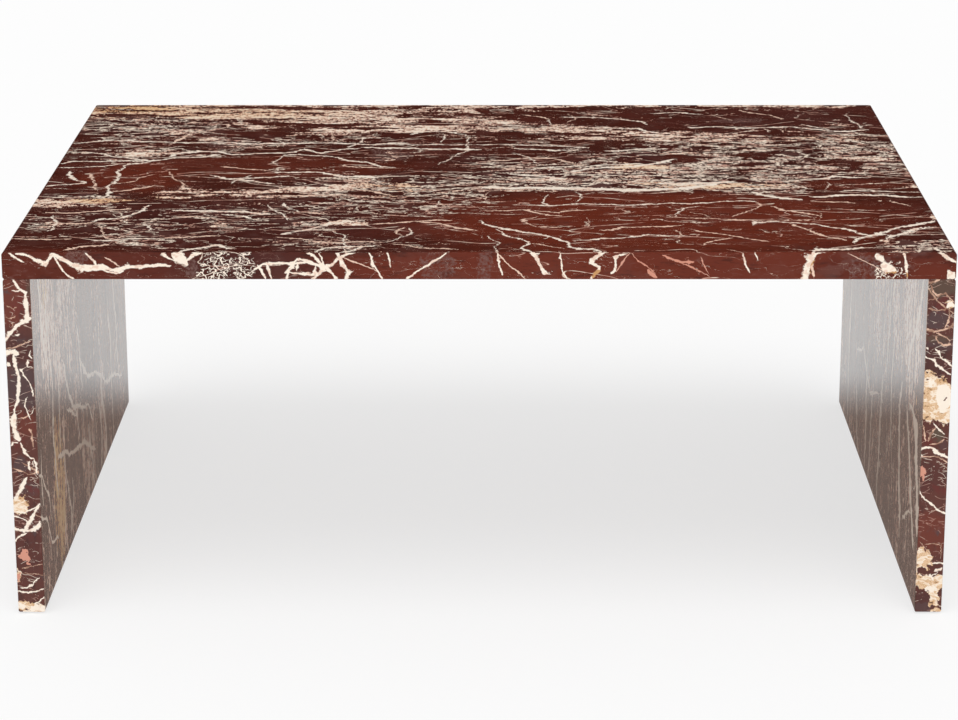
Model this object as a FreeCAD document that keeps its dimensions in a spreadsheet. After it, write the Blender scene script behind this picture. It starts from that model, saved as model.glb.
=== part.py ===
import FreeCAD, Part
import Sketcher
import math
import os
import re

# Marble coffee table: one polished slab lies across two upright slabs, so that the three make an arch.
# The joints are butt joints. Steel dowels locate the top on each leg's upper edge, and steel angle
# brackets, hidden high in the inner corners, hold the legs square with screws in metal inserts.
# Frame: millimetres, +X to the right, +Y to the back, +Z up, origin on the floor under the table's middle.

doc = FreeCAD.newDocument("marble_coffee_table")
V = FreeCAD.Vector
UPRIGHT = FreeCAD.Rotation()
HALF_TURN = FreeCAD.Rotation(V(0, 0, 1), 180)
TOLERANCE = 1e-6
FULL_TURN = 360

# Driving dimensions

SIZES = {
    # the three slabs
    "table_width": 1040,
    "table_depth": 790,
    "table_height": 420,
    "top_thickness": 30,
    "leg_thickness": 30,
    "end_round": 3,
    "foot_round": 2,
    "arris": 0.6,
    # the round felt pads that the legs stand on
    "pad_diameter": 24,
    "pad_thickness": 2,
    "pad_round": 0.5,
    "pad_inset": 60,
    # the plain steel dowels
    "dowel_diameter": 10,
    "dowel_length": 34,
    "dowel_rise": 14,
    "dowel_chamfer": 1,
    "dowel_inset": 75,
    "dowel_fit": 0.2,
    "dowel_end_gap": 0.5,
    # the bent angle brackets
    "bracket_length": 120,
    "bracket_flange": 40,
    "bracket_thickness": 4,
    "bracket_bend": 4,
    "bracket_inset": 150,
    "bracket_corner": 6,
    "screw_spacing": 70,
    "screw_reach": 24,
    "screw_hole_fit": 0.3,
    # the button-head screws
    "screw_diameter": 6,
    "screw_length": 16,
    "screw_head_diameter": 10.5,
    "screw_head_height": 3.3,
    "screw_head_crown": 6.5,
    "screw_socket_width": 4,
    "screw_socket_depth": 2,
    # the washers
    "washer_diameter": 13,
    "washer_thickness": 1.6,
    "washer_fit": 0.2,
    # the metal inserts that take the screws
    "insert_diameter": 10,
    "insert_length": 13,
    "insert_floor": 1,
    "insert_fit": 0.2,
    "insert_end_gap": 0.3,
    "thread_fit": 0.05,
}

sheet = doc.addObject("Spreadsheet::Sheet", "sizes")
for row, (alias, value) in enumerate(SIZES.items(), start=1):
    sheet.set("A%d" % row, alias)
    sheet.set("B%d" % row, str(value))
    sheet.setAlias("B%d" % row, alias)
doc.recompute()
SHEET_NAMES = {alias: "sizes." + alias for alias in SIZES}


def bind(item, slot, words):
    """Ties a property or a sketch constraint to the sheet's aliases, as they stand in words."""
    item.setExpression(slot, re.sub("[a-z_]+", lambda w: SHEET_NAMES.get(w[0], w[0]), words))


# Sketches


def new_body(name):
    body = doc.addObject("PartDesign::Body", name)
    body.Label = name
    return body


def sketch_on(body, role, name):
    """A sketch on one of the body's own origin planes."""
    plane = next(o for o in body.Origin.OriginFeatures if o.Role == role)
    sketch = body.newObject("Sketcher::SketchObject", name)
    sketch.AttachmentSupport = (plane, "")
    sketch.MapMode = "FlatFace"
    return sketch


def fix(sketch, kind, words, *places):
    """Adds a dimension whose value follows the sheet."""
    index = sketch.addConstraint(Sketcher.Constraint(kind, *places, 1.0))
    bind(sketch, "Constraints[%d]" % index, words)


def closed_outline(sketch, corners):
    """Lines from corner to corner and back, joined at their ends."""
    for a, b in zip(corners, corners[1:] + corners[:1]):
        sketch.addGeometry(Part.LineSegment(a, b), False)
    for side in range(len(corners)):
        joint = (side, 2, (side + 1) % len(corners), 1)
        sketch.addConstraint(Sketcher.Constraint("Coincident", *joint))


def centred_rectangle(sketch, width, depth):
    closed_outline(sketch, [V(-1, -1, 0), V(1, -1, 0), V(1, 1, 0), V(-1, 1, 0)])
    for side, kind in enumerate(("Horizontal", "Vertical", "Horizontal", "Vertical")):
        sketch.addConstraint(Sketcher.Constraint(kind, side))
    sketch.addConstraint(Sketcher.Constraint("Symmetric", 0, 1, 2, 1, -1, 1))
    fix(sketch, "DistanceX", width, 0, 1, 0, 2)
    fix(sketch, "DistanceY", depth, 1, 1, 1, 2)


def circle_at(sketch, diameter, x_side=0, x_words="", y_side=0, y_words=""):
    """A circle whose centre lies at distances from the origin, on the side that each sign tells."""
    item = sketch.addGeometry(Part.Circle(V(x_side, y_side, 0), V(0, 0, 1), 1), False)
    axes = (("DistanceX", x_side, x_words, -2), ("DistanceY", y_side, y_words, -1))
    for kind, side, words, axis in axes:
        if side > 0:
            fix(sketch, kind, words, -1, 1, item, 3)
        elif side < 0:
            fix(sketch, kind, words, item, 3, -1, 1)
        else:
            sketch.addConstraint(Sketcher.Constraint("PointOnObject", item, 3, axis))
    fix(sketch, "Diameter", diameter, item)


# Features


def pad(body, sketch, length, name, midplane=False):
    feature = body.newObject("PartDesign::Pad", name)
    feature.Profile = sketch
    feature.Midplane = midplane
    bind(feature, "Length", length)
    return feature


def pocket(body, sketch, depth, name, reverse):
    """Cuts away from the sketch. It must take material, because a cut that points away takes none."""
    doc.recompute()
    before = body.Shape.Volume
    feature = body.newObject("PartDesign::Pocket", name)
    feature.Profile = sketch
    feature.Reversed = reverse
    bind(feature, "Length", depth)
    doc.recompute()
    if body.Shape.Volume > before - TOLERANCE:
        raise RuntimeError("%s cuts nothing" % name)
    return feature


def ease(body, base, edges, radius, name):
    """Rounds edges, given as the numbers of the base feature's edges."""
    feature = body.newObject("PartDesign::Fillet", name)
    feature.Base = (base, ["Edge%d" % n for n in edges])
    bind(feature, "Radius", radius)
    doc.recompute()
    return feature


def edges_where(shape, lengthwise, test):
    """The numbers of the edges whose two ends pass the test, along the table's depth or else across it."""
    found = []
    for number, edge in enumerate(shape.Edges, start=1):
        ends = [v.Point for v in edge.Vertexes]
        if len(ends) != 2 or not all(test(p) for p in ends):
            continue
        if (abs(ends[0].y - ends[1].y) > TOLERANCE) == lengthwise:
            found.append(number)
    return found


def closed_edges(shape, test):
    """The numbers of the full circles that pass the test."""
    numbered = enumerate(shape.Edges, start=1)
    return [n for n, e in numbered if e.isClosed() and test(e.Vertexes[0].Point)]


def stand(body, turn, x, y, z):
    """Puts a finished body in the table, turned first and then moved."""
    body.Placement = FreeCAD.Placement(V(0, 0, 0), turn)
    for letter, words in (("x", x), ("y", y), ("z", z)):
        bind(body, "Placement.Base." + letter, words)


# Places that several pieces share

LEG_HEIGHT = "(table_height - top_thickness - pad_thickness)"
LEG_TOP = "(table_height - top_thickness)"
LEG_MIDDLE_X = "(table_width / 2 - leg_thickness / 2)"
LEG_FACE_X = "(table_width / 2 - leg_thickness)"
DOWEL_Y = "(table_depth / 2 - dowel_inset)"
BRACKET_Y = "(table_depth / 2 - bracket_inset - bracket_length / 2)"
PAD_Y = "(table_depth / 2 - pad_inset)"
TOP_SCREW_X = "(table_width / 2 - leg_thickness - screw_reach)"
SCREW_HOLE = "screw_diameter + 2 * screw_hole_fit"
INSERT_HOLE = "insert_diameter + 2 * insert_fit"
INSERT_HOLE_DEPTH = "insert_length + insert_end_gap"
DOWEL_HOLE = "dowel_diameter + 2 * dowel_fit"
WASHER_FACE = "(bracket_thickness + washer_thickness)"

SIDES = {"left": -1, "right": 1}
ENDS = {"front": -1, "back": 1}


def signed(sign, words):
    return "%d * %s" % (sign, words)


# Slabs


def tabletop_slab():
    """The top: its end edges are well rounded, the others only eased. All holes are blind, from below."""
    body = new_body("tabletop_slab")
    outline = sketch_on(body, "XY_Plane", "top_outline")
    centred_rectangle(outline, "table_width", "table_depth")
    slab = pad(body, outline, "top_thickness", "top_pad")
    doc.recompute()

    half_width = SIZES["table_width"] / 2
    half_depth = SIZES["table_depth"] / 2
    at_end = edges_where(slab.Shape, True, lambda p: abs(abs(p.x) - half_width) < TOLERANCE)
    rounded = ease(body, slab, at_end, "end_round", "top_end_rounds")
    rims = edges_where(rounded.Shape, False, lambda p: abs(abs(p.y) - half_depth) < TOLERANCE)
    ease(body, rounded, rims, "arris", "top_arrises")

    dowels = sketch_on(body, "XY_Plane", "top_dowel_holes")
    inserts = sketch_on(body, "XY_Plane", "top_insert_holes")
    for side in SIDES.values():
        for end in ENDS.values():
            circle_at(dowels, DOWEL_HOLE, side, LEG_MIDDLE_X, end, DOWEL_Y)
            for step in ("- screw_spacing / 2", "+ screw_spacing / 2"):
                circle_at(inserts, INSERT_HOLE, side, TOP_SCREW_X, end, BRACKET_Y + step)
    pocket(body, dowels, "dowel_rise + dowel_end_gap", "top_dowel_sockets", True)
    pocket(body, inserts, INSERT_HOLE_DEPTH, "top_insert_sockets", True)
    stand(body, UPRIGHT, "0", "0", LEG_TOP)


def leg_slab(name, side):
    """A leg, drawn as the left one with its outer face towards -X. The right leg is it turned round."""
    body = new_body(name)
    outline = sketch_on(body, "XY_Plane", name + "_outline")
    centred_rectangle(outline, "leg_thickness", "table_depth")
    slab = pad(body, outline, LEG_HEIGHT, name + "_pad")
    doc.recompute()

    half_thickness = SIZES["leg_thickness"] / 2
    half_depth = SIZES["table_depth"] / 2
    height = slab.Shape.BoundBox.ZMax

    def outer_top(p):
        return abs(p.x + half_thickness) < TOLERANCE and abs(p.z - height) < TOLERANCE

    rounded = ease(body, slab, edges_where(slab.Shape, True, outer_top), "end_round", name + "_end_round")
    feet = edges_where(rounded.Shape, True, lambda p: abs(p.z) < TOLERANCE)
    footed = ease(body, rounded, feet, "foot_round", name + "_foot_rounds")
    rims = edges_where(footed.Shape, False, lambda p: abs(abs(p.y) - half_depth) < TOLERANCE)
    ease(body, footed, rims, "arris", name + "_arrises")

    dowels = sketch_on(body, "XY_Plane", name + "_dowel_holes")
    bind(dowels, "AttachmentOffset.Base.z", LEG_HEIGHT)
    for end in ENDS.values():
        circle_at(dowels, DOWEL_HOLE, 0, "", end, DOWEL_Y)
    pocket(body, dowels, "dowel_length - dowel_rise", name + "_dowel_sockets", False)

    inserts = sketch_on(body, "YZ_Plane", name + "_insert_holes")
    bind(inserts, "AttachmentOffset.Base.z", "leg_thickness / 2")
    for end in ENDS.values():
        for step in ("- screw_spacing / 2", "+ screw_spacing / 2"):
            circle_at(inserts, INSERT_HOLE, end, BRACKET_Y + step, 1, LEG_HEIGHT + " - screw_reach")
    pocket(body, inserts, INSERT_HOLE_DEPTH, name + "_insert_sockets", False)
    turn = UPRIGHT if side < 0 else HALF_TURN
    stand(body, turn, signed(side, LEG_MIDDLE_X), "0", "pad_thickness")


# Feet and dowels


def foot_pad(name, side, y):
    body = new_body(name)
    disc = sketch_on(body, "XY_Plane", name + "_disc")
    circle_at(disc, "pad_diameter")
    slab = pad(body, disc, "pad_thickness", name + "_pad")
    doc.recompute()
    rim = closed_edges(slab.Shape, lambda p: p.z < TOLERANCE)
    ease(body, slab, rim, "pad_round", name + "_rim")
    stand(body, UPRIGHT, signed(side, LEG_MIDDLE_X), y, "0")


def dowel(name, side, end):
    """Stands on the floor of the leg's socket and rises into the top's."""
    body = new_body(name)
    disc = sketch_on(body, "XY_Plane", name + "_disc")
    circle_at(disc, "dowel_diameter")
    pin = pad(body, disc, "dowel_length", name + "_pin")
    doc.recompute()
    ends = body.newObject("PartDesign::Chamfer", name + "_ends")
    ends.Base = (pin, ["Edge%d" % n for n in closed_edges(pin.Shape, lambda p: True)])
    bind(ends, "Size", "dowel_chamfer")
    foot = LEG_TOP + " + dowel_rise - dowel_length"
    stand(body, UPRIGHT, signed(side, LEG_MIDDLE_X), signed(end, DOWEL_Y), foot)


# Brackets

# A bracket is drawn for the left leg: one flange against the leg, up to z 0, and one under the top.
# Its corner lies on the origin, so the leg's inner face is the plane x 0 and the top's underside z 0.


def angle_bracket(name, side, end):
    body = new_body(name)
    profile = sketch_on(body, "XZ_Plane", name + "_profile")
    thick = SIZES["bracket_thickness"]
    flange = SIZES["bracket_flange"]
    half = SIZES["bracket_length"] / 2
    points = [(0, -flange), (0, 0), (flange, 0), (flange, -thick), (thick, -thick), (thick, -flange)]
    closed_outline(profile, [V(x, z, 0) for x, z in points])
    for line in range(len(points)):
        kind = "Vertical" if line % 2 == 0 else "Horizontal"
        profile.addConstraint(Sketcher.Constraint(kind, line))
    profile.addConstraint(Sketcher.Constraint("Coincident", 1, 1, -1, 1))
    fix(profile, "DistanceX", "bracket_flange", 1, 1, 1, 2)
    fix(profile, "DistanceY", "bracket_flange", 0, 1, 0, 2)
    fix(profile, "DistanceY", "bracket_thickness", 2, 2, 2, 1)
    fix(profile, "DistanceX", "bracket_thickness", 5, 2, 5, 1)
    bar = pad(body, profile, "bracket_length", name + "_bar", midplane=True)
    doc.recompute()

    def inside(p):
        return abs(p.x - thick) < TOLERANCE and abs(p.z + thick) < TOLERANCE

    def outside(p):
        return abs(p.x) < TOLERANCE and abs(p.z) < TOLERANCE

    def at_corner(p):
        free_edge = abs(p.x - flange) < TOLERANCE or abs(p.z + flange) < TOLERANCE
        return free_edge and abs(abs(p.y) - half) < TOLERANCE

    bent = ease(body, bar, edges_where(bar.Shape, True, inside), "bracket_bend", name + "_inner_bend")
    outer_bend = "bracket_bend + bracket_thickness"
    folded = ease(body, bent, edges_where(bent.Shape, True, outside), outer_bend, name + "_outer_bend")
    corners = edges_where(folded.Shape, False, at_corner)
    ease(body, folded, corners, "bracket_corner", name + "_corners")

    top_holes = sketch_on(body, "XY_Plane", name + "_top_holes")
    leg_holes = sketch_on(body, "YZ_Plane", name + "_leg_holes")
    for sign in ENDS.values():
        circle_at(top_holes, SCREW_HOLE, 1, "screw_reach", sign, "screw_spacing / 2")
        circle_at(leg_holes, SCREW_HOLE, sign, "screw_spacing / 2", -1, "screw_reach")
    pocket(body, top_holes, "bracket_thickness", name + "_top_hole_cut", False)
    pocket(body, leg_holes, "bracket_thickness", name + "_leg_hole_cut", True)
    turn = UPRIGHT if side < 0 else HALF_TURN
    stand(body, turn, signed(side, LEG_FACE_X), signed(end, BRACKET_Y), LEG_TOP)


# Fasteners

# Each is drawn on its own axis, +Z pointing into the stone, with z 0 on the stone's face. It is then
# turned to point up into the top, or sideways into a leg.

HEX_FLATS = 6
BULGE_SHARE = 0.2  # how far the head's shoulder stands out from a straight line, before it is sized


def stone_face(side, end, into):
    """The turn and the place of a pair of fasteners whose first one is nearer the front."""
    y = signed(end, BRACKET_Y) + " - screw_spacing / 2"
    if into == "top":
        return UPRIGHT, signed(side, TOP_SCREW_X), y, LEG_TOP
    sideways = FreeCAD.Rotation(V(0, 1, 0), 90 * side)
    return sideways, signed(side, LEG_FACE_X), y, LEG_TOP + " - screw_reach"


def screws(name, side, end, into):
    """Two button-head screws: a revolved profile, with a six-sided socket cut in the head."""
    body = new_body(name)
    profile = sketch_on(body, "XZ_Plane", name + "_profile")
    shank_x = SIZES["screw_diameter"] / 2
    rim_x = SIZES["screw_head_diameter"] / 2
    crown_x = SIZES["screw_head_crown"] / 2
    seat_z = -SIZES["bracket_thickness"] - SIZES["washer_thickness"]
    tip_z = seat_z + SIZES["screw_length"]
    crown_z = seat_z - SIZES["screw_head_height"]
    tip, shank, seat = V(0, tip_z, 0), V(shank_x, tip_z, 0), V(shank_x, seat_z, 0)
    rim, crown, middle = V(rim_x, seat_z, 0), V(crown_x, crown_z, 0), V(0, crown_z, 0)
    shoulder = V((rim_x + crown_x) / 2, (seat_z + crown_z) / 2, 0)
    bulge = V(rim.y - crown.y, crown.x - rim.x, 0) * BULGE_SHARE
    for line in ((tip, shank), (shank, seat), (seat, rim)):
        profile.addGeometry(Part.LineSegment(*line), False)
    profile.addGeometry(Part.Arc(rim, shoulder + bulge, crown), False)
    for line in ((crown, middle), (middle, tip)):
        profile.addGeometry(Part.LineSegment(*line), False)
    ends = [(0, 2, 1, 1), (1, 2, 2, 1), (4, 2, 5, 1), (5, 2, 0, 1)]
    for a, a_end, b, b_end in ends:
        profile.addConstraint(Sketcher.Constraint("Coincident", a, a_end, b, b_end))
    arc_at_rim = 1 if profile.getPoint(3, 1).distanceToPoint(rim) < TOLERANCE else 2
    profile.addConstraint(Sketcher.Constraint("Coincident", 2, 2, 3, arc_at_rim))
    profile.addConstraint(Sketcher.Constraint("Coincident", 4, 1, 3, 3 - arc_at_rim))
    for line in (0, 2, 4):
        profile.addConstraint(Sketcher.Constraint("Horizontal", line))
    profile.addConstraint(Sketcher.Constraint("Vertical", 1))
    profile.addConstraint(Sketcher.Constraint("PointOnObject", 5, 1, -2))
    profile.addConstraint(Sketcher.Constraint("PointOnObject", 5, 2, -2))
    fix(profile, "DistanceX", "screw_diameter / 2", 0, 1, 0, 2)
    fix(profile, "DistanceY", "screw_length", 1, 2, 1, 1)
    fix(profile, "DistanceY", WASHER_FACE, 1, 2, -1, 1)
    fix(profile, "DistanceX", "screw_head_diameter / 2", -1, 1, 2, 2)
    fix(profile, "DistanceY", "screw_head_height", 4, 1, 2, 2)
    fix(profile, "DistanceX", "screw_head_crown / 2", 4, 2, 4, 1)
    fix(profile, "Radius", "screw_head_diameter / 2", 3)
    turned = body.newObject("PartDesign::Revolution", name + "_turned")
    turned.Profile = profile
    turned.ReferenceAxis = (profile, ["V_Axis"])
    turned.Angle = FULL_TURN
    doc.recompute()

    socket = sketch_on(body, "XY_Plane", name + "_socket")
    bind(socket, "AttachmentOffset.Base.z", "-1 * (" + WASHER_FACE + " + screw_head_height)")
    reach = SIZES["screw_socket_width"] / 2
    turns = [math.tau * flat / HEX_FLATS for flat in range(HEX_FLATS)]
    closed_outline(socket, [V(math.cos(turn), math.sin(turn), 0) * reach for turn in turns])
    ring = socket.addGeometry(Part.Circle(V(0, 0, 0), V(0, 0, 1), reach), True)
    socket.addConstraint(Sketcher.Constraint("Coincident", ring, 3, -1, 1))
    for flat in range(HEX_FLATS):
        socket.addConstraint(Sketcher.Constraint("PointOnObject", flat, 1, ring))
        if flat:
            socket.addConstraint(Sketcher.Constraint("Equal", 0, flat))
    socket.addConstraint(Sketcher.Constraint("PointOnObject", 0, 1, -1))
    fix(socket, "Diameter", "screw_socket_width / cos(30)", ring)
    cut = pocket(body, socket, "screw_socket_depth", name + "_socket_cut", True)
    body.AllowCompound = True
    pair_features(body, [turned, cut], name)
    stand(body, *stone_face(side, end, into))


def pair_features(body, features, name):
    """Repeats a fastener's features once, one screw spacing towards the back."""
    axis = next(o for o in body.Origin.OriginFeatures if o.Role == "Y_Axis")
    pattern = body.newObject("PartDesign::LinearPattern", name + "_pair")
    pattern.Originals = features
    pattern.Direction = (axis, [""])
    pattern.Occurrences = 2
    bind(pattern, "Length", "screw_spacing")
    body.Tip = pattern
    doc.recompute()


def washers(name, side, end, into):
    body = new_body(name)
    body.AllowCompound = True
    ring = sketch_on(body, "XY_Plane", name + "_ring")
    bind(ring, "AttachmentOffset.Base.z", "-1 * " + WASHER_FACE)
    circle_at(ring, "washer_diameter")
    circle_at(ring, "screw_diameter + 2 * washer_fit")
    disc = pad(body, ring, "washer_thickness", name + "_disc")
    pair_features(body, [disc], name)
    stand(body, *stone_face(side, end, into))


def inserts(name, side, end, into):
    """Two plain sleeves, closed at the inner end, flush with the stone's face."""
    body = new_body(name)
    body.AllowCompound = True
    outline = sketch_on(body, "XY_Plane", name + "_outline")
    circle_at(outline, "insert_diameter")
    sleeve = pad(body, outline, "insert_length", name + "_sleeve")
    bore = sketch_on(body, "XY_Plane", name + "_bore")
    circle_at(bore, "screw_diameter + 2 * thread_fit")
    cut = pocket(body, bore, "insert_length - insert_floor", name + "_bore_cut", True)
    pair_features(body, [sleeve, cut], name)
    stand(body, *stone_face(side, end, into))


# The table

tabletop_slab()
for side_name, side in SIDES.items():
    leg_slab(side_name + "_leg_slab", side)
    foot_pad(side_name + "_middle_foot_pad", side, "0")
    for end_name, end in ENDS.items():
        corner = side_name + "_" + end_name
        foot_pad(corner + "_foot_pad", side, signed(end, PAD_Y))
        dowel(corner + "_dowel", side, end)
        angle_bracket(corner + "_bracket", side, end)
        for into in ("top", "leg"):
            screws("%s_%s_screws" % (corner, into), side, end, into)
            washers("%s_%s_washers" % (corner, into), side, end, into)
            inserts("%s_%s_inserts" % (corner, into), side, end, into)
doc.recompute()

# Checks and files

for item in doc.Objects:
    if "Invalid" in item.State or "Error" in item.State:
        raise RuntimeError("%s failed: %s" % (item.Label, item.State))

bodies = [o for o in doc.Objects if o.TypeId == "PartDesign::Body"]
os.makedirs("parts", exist_ok=True)
for body in bodies:
    if body.Shape.isNull() or not body.Shape.isValid():
        raise RuntimeError("%s has no valid shape" % body.Label)
for body in bodies:
    body.Shape.exportStep("parts/%s.step" % body.Label)
print("%d nodes, %d solids" % (len(bodies), sum(len(b.Shape.Solids) for b in bodies)))
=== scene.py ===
import bpy
import bmesh
import math
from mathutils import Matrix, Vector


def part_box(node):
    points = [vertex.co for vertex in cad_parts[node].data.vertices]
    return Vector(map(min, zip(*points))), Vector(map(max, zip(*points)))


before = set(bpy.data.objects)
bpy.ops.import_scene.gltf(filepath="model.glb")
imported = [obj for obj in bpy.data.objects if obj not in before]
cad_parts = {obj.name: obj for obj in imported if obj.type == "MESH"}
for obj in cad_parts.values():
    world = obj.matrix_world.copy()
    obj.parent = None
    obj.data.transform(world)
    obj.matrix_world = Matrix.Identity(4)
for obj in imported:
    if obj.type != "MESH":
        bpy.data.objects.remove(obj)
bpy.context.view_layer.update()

# A low table of dark red marble: a slab across two slabs. The stone's drawing is laid out face by face
# in millimetres, as a mason would mark it: its bands and patches first, then its veins.

# Sizes, from the frame

MM = 1000
_, SLAB_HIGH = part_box("tabletop_slab")
HALF_LENGTH, HALF_DEPTH, TABLE_TOP = SLAB_HIGH
LEG_LOW, LEG_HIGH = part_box("left_leg_slab")
LEG_THICKNESS = LEG_HIGH[0] - LEG_LOW[0]

# The photographer's side, in metres and degrees. The camera's lens and sensor are in millimetres, and
# its shift is a share of the sensor's width.

CAMERA_PLACE = (0.025, -3.547, 1.2355)
CAMERA_DIP = 16.56
CAMERA_LENS = 112.43
CAMERA_SENSOR = 36
CAMERA_SHIFT = -0.0241

WHITE = (1, 1, 1, 1)
SKY_GREY = (0.55, 0.55, 0.55, 1)
FLOOR_PALE = (0.9, 0.9, 0.9, 1)
FLOOR_OWN_WHITE = 0.7
FLOOR_REACH = 40
CARD_BLACK = (0.015, 0.015, 0.015, 1)
CARD_RING_RADIUS = 9
CARD_RING_HEIGHT = 14
CARD_RING_MIDDLE = 7.02
# The grey of the painted shadow that the legs' polish shows for the shaded floor under the table.
PAINTED_SHADOW_GREY = (0.29, 0.22, 0.19, 1)
GREY_CARD_HALF_DEPTH = 0.6
GREY_CARD_FADE = (0.3, 0.56)
CARD_GAP = 0.001


def set_camera():
    lens = bpy.data.cameras.new("camera")
    lens.lens = CAMERA_LENS
    lens.sensor_width = CAMERA_SENSOR
    lens.shift_x = CAMERA_SHIFT
    camera = bpy.data.objects.new("camera", lens)
    camera.location = CAMERA_PLACE
    camera.rotation_euler = (math.pi / 2 - math.radians(CAMERA_DIP), 0, 0)
    bpy.context.collection.objects.link(camera)
    bpy.context.scene.camera = camera


def soft_sun(name, strength, spread, aim):
    """A broad even light. aim turns it from straight down, about X and then about Z."""
    sun = bpy.data.lights.new(name, "SUN")
    sun.energy = strength
    sun.angle = math.radians(spread)
    lamp = bpy.data.objects.new(name, sun)
    lamp.rotation_euler = (math.radians(aim[0]), 0, math.radians(aim[1]))
    bpy.context.collection.objects.link(lamp)


class Web:
    """Adds nodes to a tree and joins them. A value is a number, a tuple or another node's output."""

    def __init__(self, tree):
        self.tree = tree

    def node(self, kind, inputs=(), **settings):
        """A new node, with values or outputs for its inputs by name or number."""
        node = self.tree.nodes.new(kind)
        for name, value in settings.items():
            setattr(node, name, value)
        for name, value in dict(inputs).items():
            if isinstance(value, bpy.types.NodeSocket):
                self.tree.links.new(value, node.inputs[name])
            else:
                node.inputs[name].default_value = value
        return node

    def math(self, operation, *values, clamp=False):
        inputs = dict(enumerate(values))
        return self.node("ShaderNodeMath", inputs, operation=operation, use_clamp=clamp).outputs[0]

    def times(self, one, other):
        return self.math("MULTIPLY", one, other)

    def plus(self, one, other):
        return self.math("ADD", one, other)

    def less(self, one, other):
        return self.math("SUBTRACT", one, other)

    def most(self, one, other):
        return self.math("MAXIMUM", one, other)

    def line(self, value, gain, start):
        """The value times the gain, plus the start."""
        return self.math("MULTIPLY_ADD", value, gain, start)

    def vector(self, operation, *values):
        sockets = (0, 3) if operation == "SCALE" else (0, 1, 2)
        node = self.node("ShaderNodeVectorMath", dict(zip(sockets, values)), operation=operation)
        return node.outputs["Value" if operation == "LENGTH" else 0]

    def join(self, x, y, z):
        return self.node("ShaderNodeCombineXYZ", {"X": x, "Y": y, "Z": z}).outputs[0]

    def split(self, vector):
        return self.node("ShaderNodeSeparateXYZ", {"Vector": vector}).outputs[:3]

    def split_colour(self, colour):
        return self.node("ShaderNodeSeparateColor", {"Color": colour}).outputs[:3]

    def fade(self, value, start, end):
        """Goes from 0 at start to 1 at end, softly. It stays between them by itself, so it needs no
        clamp, which would cost the shader a node."""
        inputs = {"Value": value, "From Min": start, "From Max": end}
        node = self.node("ShaderNodeMapRange", inputs, interpolation_type="SMOOTHSTEP", clamp=False)
        return node.outputs[0]

    def mix(self, share, under, over, blend="MIX"):
        inputs = {0: share, 6: under, 7: over}
        return self.node("ShaderNodeMix", inputs, data_type="RGBA", blend_type=blend).outputs[2]

    def lay(self, colour, tint, where, share, blend="MIX"):
        """Lays a tint over the colour: as much as the share, where the mask is 1."""
        return self.mix(self.times(where, share), colour, tint, blend)

    def tones(self, value, stops):
        """Turns a value into a colour by stops of (value, colour), with even blends between them."""
        node = self.node("ShaderNodeValToRGB", {"Fac": value})
        ramp = node.color_ramp
        for (at, colour), element in zip((stops[0], stops[-1]), ramp.elements):
            element.position, element.color = at, colour
        for at, colour in stops[1:-1]:
            ramp.elements.new(at).color = colour
        return node.outputs[0]

    def noise(self, place, size, detail=2, rough=0.5, colour=False):
        """Cloudy noise with features of about the given size, in the units of place."""
        inputs = {"Vector": place, "Scale": 1 / size, "Detail": detail, "Roughness": rough}
        return self.node("ShaderNodeTexNoise", inputs).outputs["Color" if colour else 0]

    def stretch(self, place, times, turn=0, shift=(0, 0, 0)):
        """A place to lay a noise by, that draws it out so many times each way, along a line turned by
        an angle in radians. Shifts are in the units of place."""
        inputs = {"Vector": place, "Location": shift, "Rotation": (0, 0, turn), "Scale": times}
        return self.node("ShaderNodeMapping", inputs, vector_type="TEXTURE").outputs[0]


def new_material(name):
    material = bpy.data.materials.new(name)
    material.use_nodes = True
    material.node_tree.nodes.clear()
    return material, Web(material.node_tree)


def seen_directly(web):
    """1 for rays from the camera, off polished faces and through glass."""
    path = web.node("ShaderNodeLightPath")
    seen = web.plus(path.outputs["Is Camera Ray"], path.outputs["Is Glossy Ray"])
    return web.math("ADD", seen, path.outputs["Is Transmission Ray"], clamp=True)


def set_world():
    """A soft grey sky for the light, and plain white where a ray looks straight at it."""
    world = bpy.data.worlds.new("studio")
    bpy.context.scene.world = world
    world.use_nodes = True
    world.node_tree.nodes.clear()
    web = Web(world.node_tree)
    colour = web.mix(seen_directly(web), SKY_GREY, WHITE)
    background = web.node("ShaderNodeBackground", {"Color": colour, "Strength": 1.0})
    web.node("ShaderNodeOutputWorld", {"Surface": background.outputs[0]})


def studio_piece(name, shape, material, only_in_polish):
    """An object from a bmesh. Only in polish means that no ray meets it but those off a polished face."""
    mesh = bpy.data.meshes.new(name)
    shape.to_mesh(mesh)
    shape.free()
    mesh.materials.append(material)
    piece = bpy.data.objects.new(name, mesh)
    if only_in_polish:
        piece.visible_camera = False
        piece.visible_diffuse = False
        piece.visible_shadow = False
        piece.visible_transmission = False
    bpy.context.collection.objects.link(piece)
    return piece


def lay_floor():
    """A wide pale floor. Part of its white is its own, so that the shadow on it stays light."""
    material, web = new_material("pale_studio_floor")
    own_white = web.times(seen_directly(web), FLOOR_OWN_WHITE)
    matt = web.node("ShaderNodeBsdfDiffuse", {"Color": FLOOR_PALE})
    glow = web.node("ShaderNodeEmission", {"Color": WHITE, "Strength": 1.0})
    blend = web.node("ShaderNodeMixShader", {0: own_white, 1: matt.outputs[0], 2: glow.outputs[0]})
    web.node("ShaderNodeOutputMaterial", {"Surface": blend.outputs[0]})
    shape = bmesh.new()
    bmesh.ops.create_grid(shape, x_segments=1, y_segments=1, size=FLOOR_REACH)
    floor = studio_piece("floor", shape, material, only_in_polish=False)


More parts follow.
